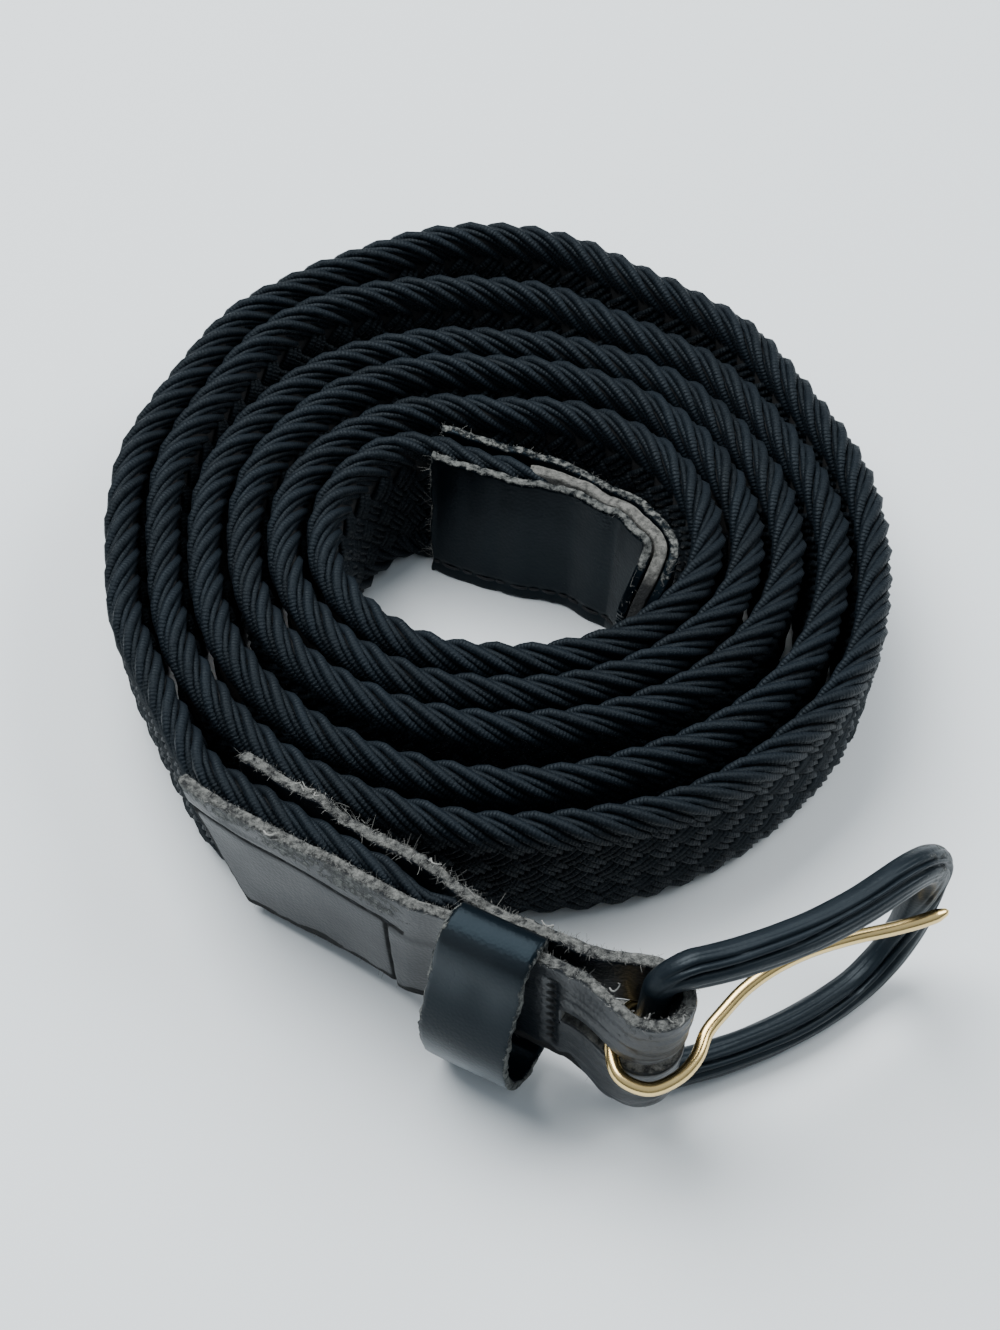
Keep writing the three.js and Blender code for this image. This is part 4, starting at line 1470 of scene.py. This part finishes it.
    def _ragged(self, flat: Array) -> Array:
        """Rise and fall of the back layer's torn upper edge."""
        run, height = flat[:, 0], flat[:, 1]
        near_top = ease((height - self.route.sizes.width + 3.0) / 3.0)
        behind = ease((run - self.length / 2 - 8) / 6)
        wild = lumps(np.stack([run, flat[:, 2] / 3], -1), 3.4, self.seed + 21)
        fine = lumps(np.stack([run, flat[:, 2]], -1), 0.9, self.seed + 22)
        tuft = 0.8 * np.exp(-(((run - self.length + 12.5) / 1.3) ** 2))
        return near_top * behind * (0.55 * wild + 0.22 * fine - 0.35 + tuft)

    def _fuzz(self, flat: Array) -> Array:
        """Where the leather's upper face is scuffed to pale fibres."""
        run, height = flat[:, 0], flat[:, 1]
        above = ease((self._above_seam(run, height) - 0.4) / 2.6)
        patches = lumps(np.stack([run / 2.5, height], -1), 1.1, self.seed + 8)
        front = 1 - ease((run - 27) / 6)
        behind = ease((run - self.length / 2 + 2) / 8) * 0.55
        fold = np.exp(-(((run - self.length / 2 + 5) / 9) ** 2)) * ease((height - 12.5) / 6)
        seen = np.maximum(above * np.maximum(front, behind), 0.5 * fold)
        outer = np.clip(flat[:, 2] / 0.4, 0, 1)
        return outer * np.clip(seen * (0.62 + 0.35 * patches), 0, 0.7)

    def _dye_and_painted_shade(self, flat: Array) -> Array:
        """Where the front layer is painted near black: its lower edge and slanted end, dyed and
        painted with the contact shade there; its seam groove and its step, painted with their
        shade; and its needle holes, dark with thread.
        """
        run, height = flat[:, 0], flat[:, 1]
        front = run < self.route.sizes.tab_length - 6
        sway = 0.3 * lumps(flat[:, :2], 1.6, self.seed + 15)
        low = 1 - ease((height - 1.1 - 2 * sway) / 0.5)
        end = 1 - ease((run - 0.35 - sway) / 0.5)
        leaning = self.step_at + self.step_slant * height
        above = self._above_seam(run, height)
        below = above < 0
        step = np.exp(-(((run - leaning) / 0.42) ** 2)) * below
        seam = np.exp(-((above / 0.3) ** 2)) * (run < self.seam_end)
        holes = self._holes(run, height, 0.6, 0.5)
        return 1.6 * front * np.clip(low + end * below + step + seam + holes, 0, 1)

    def _in_row(self, height: Array) -> Array:
        """Where the row of needle holes runs across the strap."""
        low, high = self.hole_row
        return (height > low) & (height < high)

    def _holes(self, run: Array, height: Array, wide: float, tall: float) -> Array:
        """The row of needle holes: 1 in the middle of each, 0 between them."""
        pitch = self.hole_pitch
        between = np.abs((height - 2.0) / pitch % 1 - 0.5) * pitch
        off = np.hypot((run - self.holes_at) / wide, (pitch / 2 - between) / tall)
        return np.exp(-(off**2)) * self._in_row(height)

    def _relief(self, flat: Array) -> Array:
        """Seam groove, step, wrinkles and soft waves of the outer face."""
        run, height = flat[:, 0], flat[:, 1]
        waves = 0.12 * lumps(flat[:, :2], 7.0, self.seed + 2)
        wrinkles = lumps(np.stack([run / 7, height], -1), 0.75, self.seed + 3)
        near_fold = np.exp(-(((run - self.length / 2 + 4) / 12) ** 2))
        above = self._above_seam(run, height)
        near_top = ease(above) * (run < self.seam_end)
        groove = 0.3 * np.exp(-((above / 0.3) ** 2))
        groove = groove * (1 - ease((run - self.seam_end + 3) / 3))
        leaning = self.step_at + self.step_slant * height
        below = 1 - ease(above + 1)
        step = 0.45 * np.exp(-(((run - leaning) / 0.32) ** 2)) * below
        raised = 0.28 * ease((run - leaning) / 0.5) * (1 - ease((run - 36) / 4)) * below
        holes = 0.55 * self._holes(run, height, 0.34, 0.34)
        pull = 0.25 * np.exp(-(((run - self.holes_at) / 0.9) ** 2)) * self._in_row(height)
        creased = 0.2 * wrinkles * near_fold + 0.12 * wrinkles * near_top
        return waves + creased - groove - step + raised - holes - pull


@dataclass
class Keeper:
    """The loose leather loop round the strap."""

    route: Route
    width: float = 10.4
    from_bar: float = 16.8
    room: float = 2.4
    bulge: float = 3.0
    skew: float = 1.8
    round_edge: float = 0.3
    seed: int = 71
    # shares outwards through the strap, of room and of bulge, then of the height
    loop: tuple[tuple[float, float, float, float], ...] = (
        (0, 0, 0, 0.57), (0, 0, 0, 0.88), (0, 0, 0, 0.965), (0.08, 0, 0, 0.991),
        (0.27, 0, 0, 1), (1, 0.3, 0, 0.965), (1, 1, 0.1, 0.79), (1, 1, 0.78, 0.6),
        (1, 1, 1.12, 0.42), (1, 1, 1, 0.25), (1, 1, 0.5, 0.09), (1, 0.7, 0, 0),
        (0.35, 0, 0, 0.01), (0, 0, 0, 0.094),
    )

    def build(self, leather: bpy.types.Material) -> None:
        """Makes the loop from a ring whose section is opened out to a strip."""
        route, sizes = self.route, self.route.sizes
        piece, round_at, section = ring_blank("keeper_loop", 120, 56)
        across, deep = self._strip(section / (2 * np.pi) % 1.0)
        thickness = sizes.keeper_leather
        through = 2 * sizes.part_gap + sizes.strap_leather + thickness
        top = sizes.width + sizes.part_gap + thickness / 2
        at = route.bar - self.from_bar
        low = sizes.floor_gap + thickness / 2 - float(route.lift(at - self.width / 2))
        rows = np.array(self.loop)
        knots = np.stack([
            through * rows[:, 0] + self.room * rows[:, 1] + self.bulge * rows[:, 2],
            mix(low, top, rows[:, 3]),
        ], -1)
        loop = Line(smooth_line(knots, closed=True))
        run = round_at * loop.length
        middle, heading = loop.at(run), loop.heading(run)
        edge = np.abs(across) / (self.width / 2)
        frayed = ease((edge - 0.9) / 0.1)
        fray = lumps(np.stack([run, deep * 2], -1), 0.5, self.seed)
        fray = fray + lumps(np.stack([run, deep], -1), 2.2, self.seed + 1)
        across = across + np.sign(across) * frayed * 0.16 * fray
        waves = 0.08 * lumps(np.stack([run, across], -1), 4.0, self.seed + 2)
        deep = deep + (deep > 0) * waves
        skew = self.skew * (0.5 - (middle[:, 1] - low) / (top - low))
        along = at + across + skew
        points = route.place(along, middle[:, 0] + heading[:, 1] * deep,
                             middle[:, 1] - heading[:, 0] * deep)
        put_points(piece, points)
        raw = np.clip(0.75 - 0.75 * (self.width / 2 - np.abs(across)) / 0.45, 0, 0.75)
        on_cut = np.abs(deep) < thickness / 2 - 0.1
        raw = np.where(on_cut, np.maximum(raw, ease(edge * 20 - 18.5)), raw)
        put_numbers(piece.data, "raw", raw)
        # Painted reflection: the front face is painted pale low down, where it reflects the floor,
        # and faintly near the top, where it reflects the sky.
        level = (middle[:, 1] - low) / (top - low)
        front = (deep < 0) & (middle[:, 0] > through)
        floor_reflection = np.exp(-(((level - 0.2) / 0.14) ** 2))
        top_highlight = 0.2 * np.exp(-(((level - 0.82) / 0.14) ** 2))
        cloud = 0.85 + 0.3 * lumps(np.stack([run / 2, across], -1), 2.5, self.seed + 3)
        put_numbers(piece.data, "painted_reflection", np.clip(front * (floor_reflection + top_highlight) * cloud, 0, 1))
        face_out(piece)
        finish_piece(piece, leather, "belt", "smooth_leather", "keeper")

    def _strip(self, section: Array) -> tuple[Array, Array]:
        """Place on the strip's rounded section, by share of the way round it."""
        half, deep = self.width / 2, self.route.sizes.keeper_leather / 2
        corner = self.round_edge
        turn = np.linspace(0, np.pi / 2, 5)
        outline = []
        for x, y, start in ((1, 1, 0), (-1, 1, 1), (-1, -1, 2), (1, -1, 3)):
            angle = turn + start * np.pi / 2
            outline += list(zip(x * (half - corner) + corner * np.cos(angle),
                                y * (deep - corner) + corner * np.sin(angle)))
        outline.append(outline[0])
        line = Line(np.array(outline))
        found = line.at(section * line.length)
        return found[:, 0], found[:, 1]


@dataclass
class BuckleFrame:
    """The buckle's rounded frame in its leather cover, bare at the bar."""

    route: Route
    bar_thickness: float = 3.4
    near_corner: float = 3.5
    far_corner: float = 8.2
    seed: int = 97
    # degrees from the seam, depth, half breadth in radians
    grooves: tuple[tuple[float, float, float], ...] = (
        (0, 0.6, 0.11), (30, 0.36, 0.09), (15, 0.06, 0.06), (-20, 0.08, 0.07), (55, 0.08, 0.08),
        (-45, 0.12, 0.1), (150, 0.25, 0.12),
    )

    def _loop(self) -> Line:
        """The frame's centre line in its own plane, from the bar's middle."""
        half = self.route.rail_spacing / 2
        length = self.route.sizes.frame_length
        points = [(0.0, 0.0)]
        corners = (
            (self.near_corner, -half + self.near_corner, self.near_corner, 180),
            (length - self.far_corner, -half + self.far_corner, self.far_corner, 270),
            (length - self.far_corner, half - self.far_corner, self.far_corner, 0),
            (self.near_corner, half - self.near_corner, self.near_corner, 90),
        )
        for x, y, radius, start in corners:
            for angle in np.radians(np.linspace(start, start + 90, 19)):
                points.append((x + radius * math.cos(angle), y + radius * math.sin(angle)))
        points.append((0.0, 0.0))
        fine = Line(np.array(points))
        return Line(fine.at(np.linspace(0, fine.length, 1200)))

    def build(self, leather: bpy.types.Material) -> None:
        """Makes the frame from a ring."""
        sizes = self.route.sizes
        piece, share, angle = ring_blank("frame_cover", 280, 100)
        loop = self._loop()
        run = share * loop.length
        flat, heading = loop.at(run), loop.heading(run)
        length = sizes.frame_length
        bow = sizes.frame_bow * (1 - (2 * flat[:, 0] / length - 1) ** 2)
        tilt = -4 * sizes.frame_bow * (2 * flat[:, 0] / length - 1) / length * heading[:, 0]
        tangent = np.stack([heading[:, 0], heading[:, 1], tilt], -1)
        tangent /= np.linalg.norm(tangent, axis=1, keepdims=True)
        wide = np.stack([tangent[:, 1], -tangent[:, 0], np.zeros(len(tangent))], -1)
        wide /= np.linalg.norm(wide, axis=1, keepdims=True)
        deep = np.cross(tangent, wide)
        swell = ease(flat[:, 0] / self.near_corner)
        width = mix(self.bar_thickness, sizes.rail_width, swell) / 2
        depth = mix(self.bar_thickness, sizes.rail_depth, swell) / 2
        relief = self._relief(share, run, angle, swell)
        local = np.stack([flat[:, 0], flat[:, 1], bow], -1)
        local = local + wide * ((width + relief) * np.cos(angle))[:, None]
        local = local + deep * ((depth + relief) * np.sin(angle))[:, None]
        put_points(piece, self.route.in_frame(local))
        # Painted highlight: the raw number is raised at the far corner to paint it pale.
        put_numbers(piece.data, "raw", self._painted_highlight(flat, angle, swell))
        face_out(piece)
        finish_piece(piece, leather, "frame", "covering_leather", "buckle_frame")

    def _relief(self, share: Array, run: Array, angle: Array, swell: Array) -> Array:
        """Grooves and creases along the cover, 0 or less."""
        seam = np.radians(mix(214.0, 316.0, ease((share - 0.4) / 0.2)))
        total = np.zeros(len(run))
        for k, (aside, depth, breadth) in enumerate(self.grooves):
            sway = 0.12 * lumps(np.stack([run, np.full(len(run), k)], -1), 8.0, self.seed + k)
            off = np.angle(np.exp(1j * (angle - seam - math.radians(aside) - sway)))
            total -= depth * np.exp(-((off / breadth) ** 2))
        creases = lumps(np.stack([run / 6, angle * 2.2], -1), 0.5, self.seed + 20)
        return swell * (total + 0.035 * (creases - 1))

    def _painted_highlight(self, flat: Array, angle: Array, swell: Array) -> Array:
        """Painted highlight: pale fibre colour at the far corner, where the cover catches the
        light.
        """
        length, half = self.route.sizes.frame_length, self.route.rail_spacing / 2
        away = np.hypot(flat[:, 0] - length + 2, flat[:, 1] - half + 3)
        return 0.42 * np.exp(-((away / 4.5) ** 2)) * swell


@dataclass
class Prong:
    """The gold-plated wire that swings on the bar."""

    route: Route
    thickness: float = 1.55
    overhang: float = 1.1
    rise: float = 1.8
    taper: float = 2.7
    point: float = 0.45
    running_gap: float = 0.4
    bar_thickness: float = 3.4
    # degrees from the frame's run, share of the way to the leather's front
    eye: tuple[tuple[float, float], ...] = (
        (25, 0), (65, 0), (105, 0), (145, 0.05), (180, 0.45), (212, 1), (240, 1.15),
        (270, 0.97), (298, 0.88),
    )
    # share of the frame's length, share of the height on the far rail
    reach: tuple[tuple[float, float], ...] = (
        (0.15, 1.06), (0.23, 0.68), (0.32, 0.33), (0.43, 0.12), (0.56, 0.12), (0.7, 0.36),
        (0.86, 0.8), (0.957, 1),
    )

    def build(self, gold: bpy.types.Material) -> None:
        """Makes the wire from a straight tube."""
        route, sizes = self.route, self.route.sizes
        half = self.thickness / 2
        eye = self.bar_thickness / 2 + self.running_gap + half
        front = sizes.bar_shift + sizes.bar_room + sizes.strap_leather + self.running_gap + half
        on_rail = sizes.rail_depth / 2 + sizes.part_gap + half
        knots = []
        for degrees, room in self.eye:
            radius, turn = mix(eye, front, room), math.radians(degrees)
            knots.append((radius * math.cos(turn), -radius * math.sin(turn)))
        knots += [(sizes.frame_length * along, on_rail * out) for along, out in self.reach]
        knots.append((sizes.frame_length + self.overhang, on_rail + half * 0.3))
        flat = np.array(knots)
        height = self.rise * np.maximum(0, flat[:, 0] / sizes.frame_length)
        wire = Line(smooth_line(np.stack([flat[:, 0], height, flat[:, 1]], -1)))
        piece = tube_blank("prong_wire", 20, (12, 14))
        points = points_of(piece)
        share = points[:, 2] + 0.5
        angle = np.arctan2(points[:, 1], points[:, 0])
        run = share * wire.length
        middle, heading = wire.at(run), wire.heading(run)
        side = np.stack([heading[:, 2], np.zeros(len(run)), -heading[:, 0]], -1)
        side /= np.linalg.norm(side, axis=1, keepdims=True)
        left = wire.length - run
        slender = np.minimum(1, self.point + left / self.taper)
        end = np.minimum(left, run)
        rounded = np.sqrt(np.clip(1 - (1 - np.clip(end / 0.35, 0, 1)) ** 2, 0.05, 1))
        radius = (half * slender * rounded)[:, None]
        local = middle + radius * side * np.cos(angle)[:, None]
        local[:, 1] += radius[:, 0] * np.sin(angle)
        put_points(piece, route.in_frame(local))
        face_out(piece)
        finish_piece(piece, gold, "prong", "gold_plate", "prong")


@dataclass
class Studio:
    """Pale floor, soft light, and the camera at the photograph's angle."""

    tilt: float = 38.0
    lens: float = 64.96
    sensor: float = 36.0
    place: tuple[float, float, float] = (-0.000162, -0.18347, 0.23936)

    def build(self) -> None:
        """Makes the floor, the lights and the camera."""
        self._floor()
        self._lights()
        lens = bpy.data.cameras.new("photo_camera")
        lens.sensor_fit = "VERTICAL"
        lens.sensor_height = self.sensor
        lens.lens = self.lens
        lens.clip_start = 0.01
        camera = bpy.data.objects.new("photo_camera", lens)
        camera.location = self.place
        camera.rotation_euler = (math.radians(self.tilt), 0, 0)
        bpy.context.scene.collection.objects.link(camera)
        bpy.context.scene.camera = camera

    def _floor(self) -> None:
        """One large pale sheet."""
        deselect()
        bpy.ops.mesh.primitive_plane_add(size=4)
        floor = take_blank("studio_floor")
        nodes = Nodes("matt white card")
        colour = nodes.blend(nodes.noise(8.0), "#dfe6e9", "#e5ebee")
        floor.data.materials.append(nodes.feed({"Base Color": colour, "Roughness": 0.6}))

    def _lights(self) -> None:
        """A large soft key, a fill and the room's own light."""
        world = bpy.data.worlds.new("soft room")
        bpy.context.scene.world = world
        world.use_nodes = True
        tree = world.node_tree
        shade = tree.nodes["Background"]
        place = add_node(tree, "ShaderNodeTexCoord").outputs["Generated"]
        up = add_node(tree, "ShaderNodeSeparateXYZ", {}, {0: place}).outputs[2]
        share = add_node(tree, "ShaderNodeMapRange", {"From Min": 0.0, "From Max": 0.8},
                         {"Value": up}, interpolation_type="SMOOTHSTEP").outputs[0]
        sky = add_node(tree, "ShaderNodeMix",
                       {6: (0.07, 0.09, 0.11, 1.0), 7: (0.84, 0.92, 1.0, 1.0)},
                       {0: share}, data_type="RGBA").outputs[2]
        tree.links.new(sky, shade.inputs["Color"])
        shade.inputs["Strength"].default_value = 0.62
        for name, place, size, power in (
            ("key_light", (-0.35, 0.35, 0.9), 0.8, 19.0),
            ("fill_light", (0.75, 0.25, 0.75), 0.6, 8.0),
        ):
            lamp = bpy.data.lights.new(name, "AREA")
            lamp.size = size
            lamp.energy = power
            light = bpy.data.objects.new(name, lamp)
            light.location = place
            aim = -np.array(place)
            aim /= np.linalg.norm(aim)
            light.rotation_euler = (math.acos(-aim[2]), 0, math.atan2(aim[1], aim[0]) - math.pi / 2)
            bpy.context.scene.collection.objects.link(light)


def main() -> None:
    """Builds the belt's pieces in order, and the studio round them."""
    logging.basicConfig(level=logging.INFO, format="%(message)s")
    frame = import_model()
    hinge = np.array(frame["record"]["behaviour"]["joints"][0]["pos_m"]) * 1000
    route = Route(BeltSizes(), hinge)
    Studio().build()
    leather = FinishedLeather().build("dull black cowhide")
    smooth = FinishedLeather(dark="#02060a", light="#050c12", roughness=0.3, gloss=0.15,
                             pebble_depth=0.015, tint="#bcdcf0").build("smooth black cowhide")
    cover = FinishedLeather(dark="#080e13", light="#121b22", roughness=0.4, gloss=0.28,
                            pebble_depth=0.02, tint="#dcebf3").build("black covering leather")
    thread = Yarn().build("black sewing thread")
    fibre = Yarn(dark="#3a3c3c", light="#8c8d89").build("pale leather fibres")
    WovenBand(route).build(WrappedCord().build("yarn-wound elastic cord"),
                           DarkCore().build("rubber core"))
    tip = LeatherTip(route)
    tip.build(smooth, SplitBoard().build("grey split board"))
    tip.trim(thread, fibre)
    strap = BuckleStrap(route)
    strap.build(leather)
    strap.sew(thread)
    strap.fray(fibre)
    strap.loose_threads(fibre)
    Keeper(route).build(smooth)
    BuckleFrame(route).build(cover)
    Prong(route).build(GoldPlate().build("pale gold plate"))


if __name__ == "__main__":
    main()
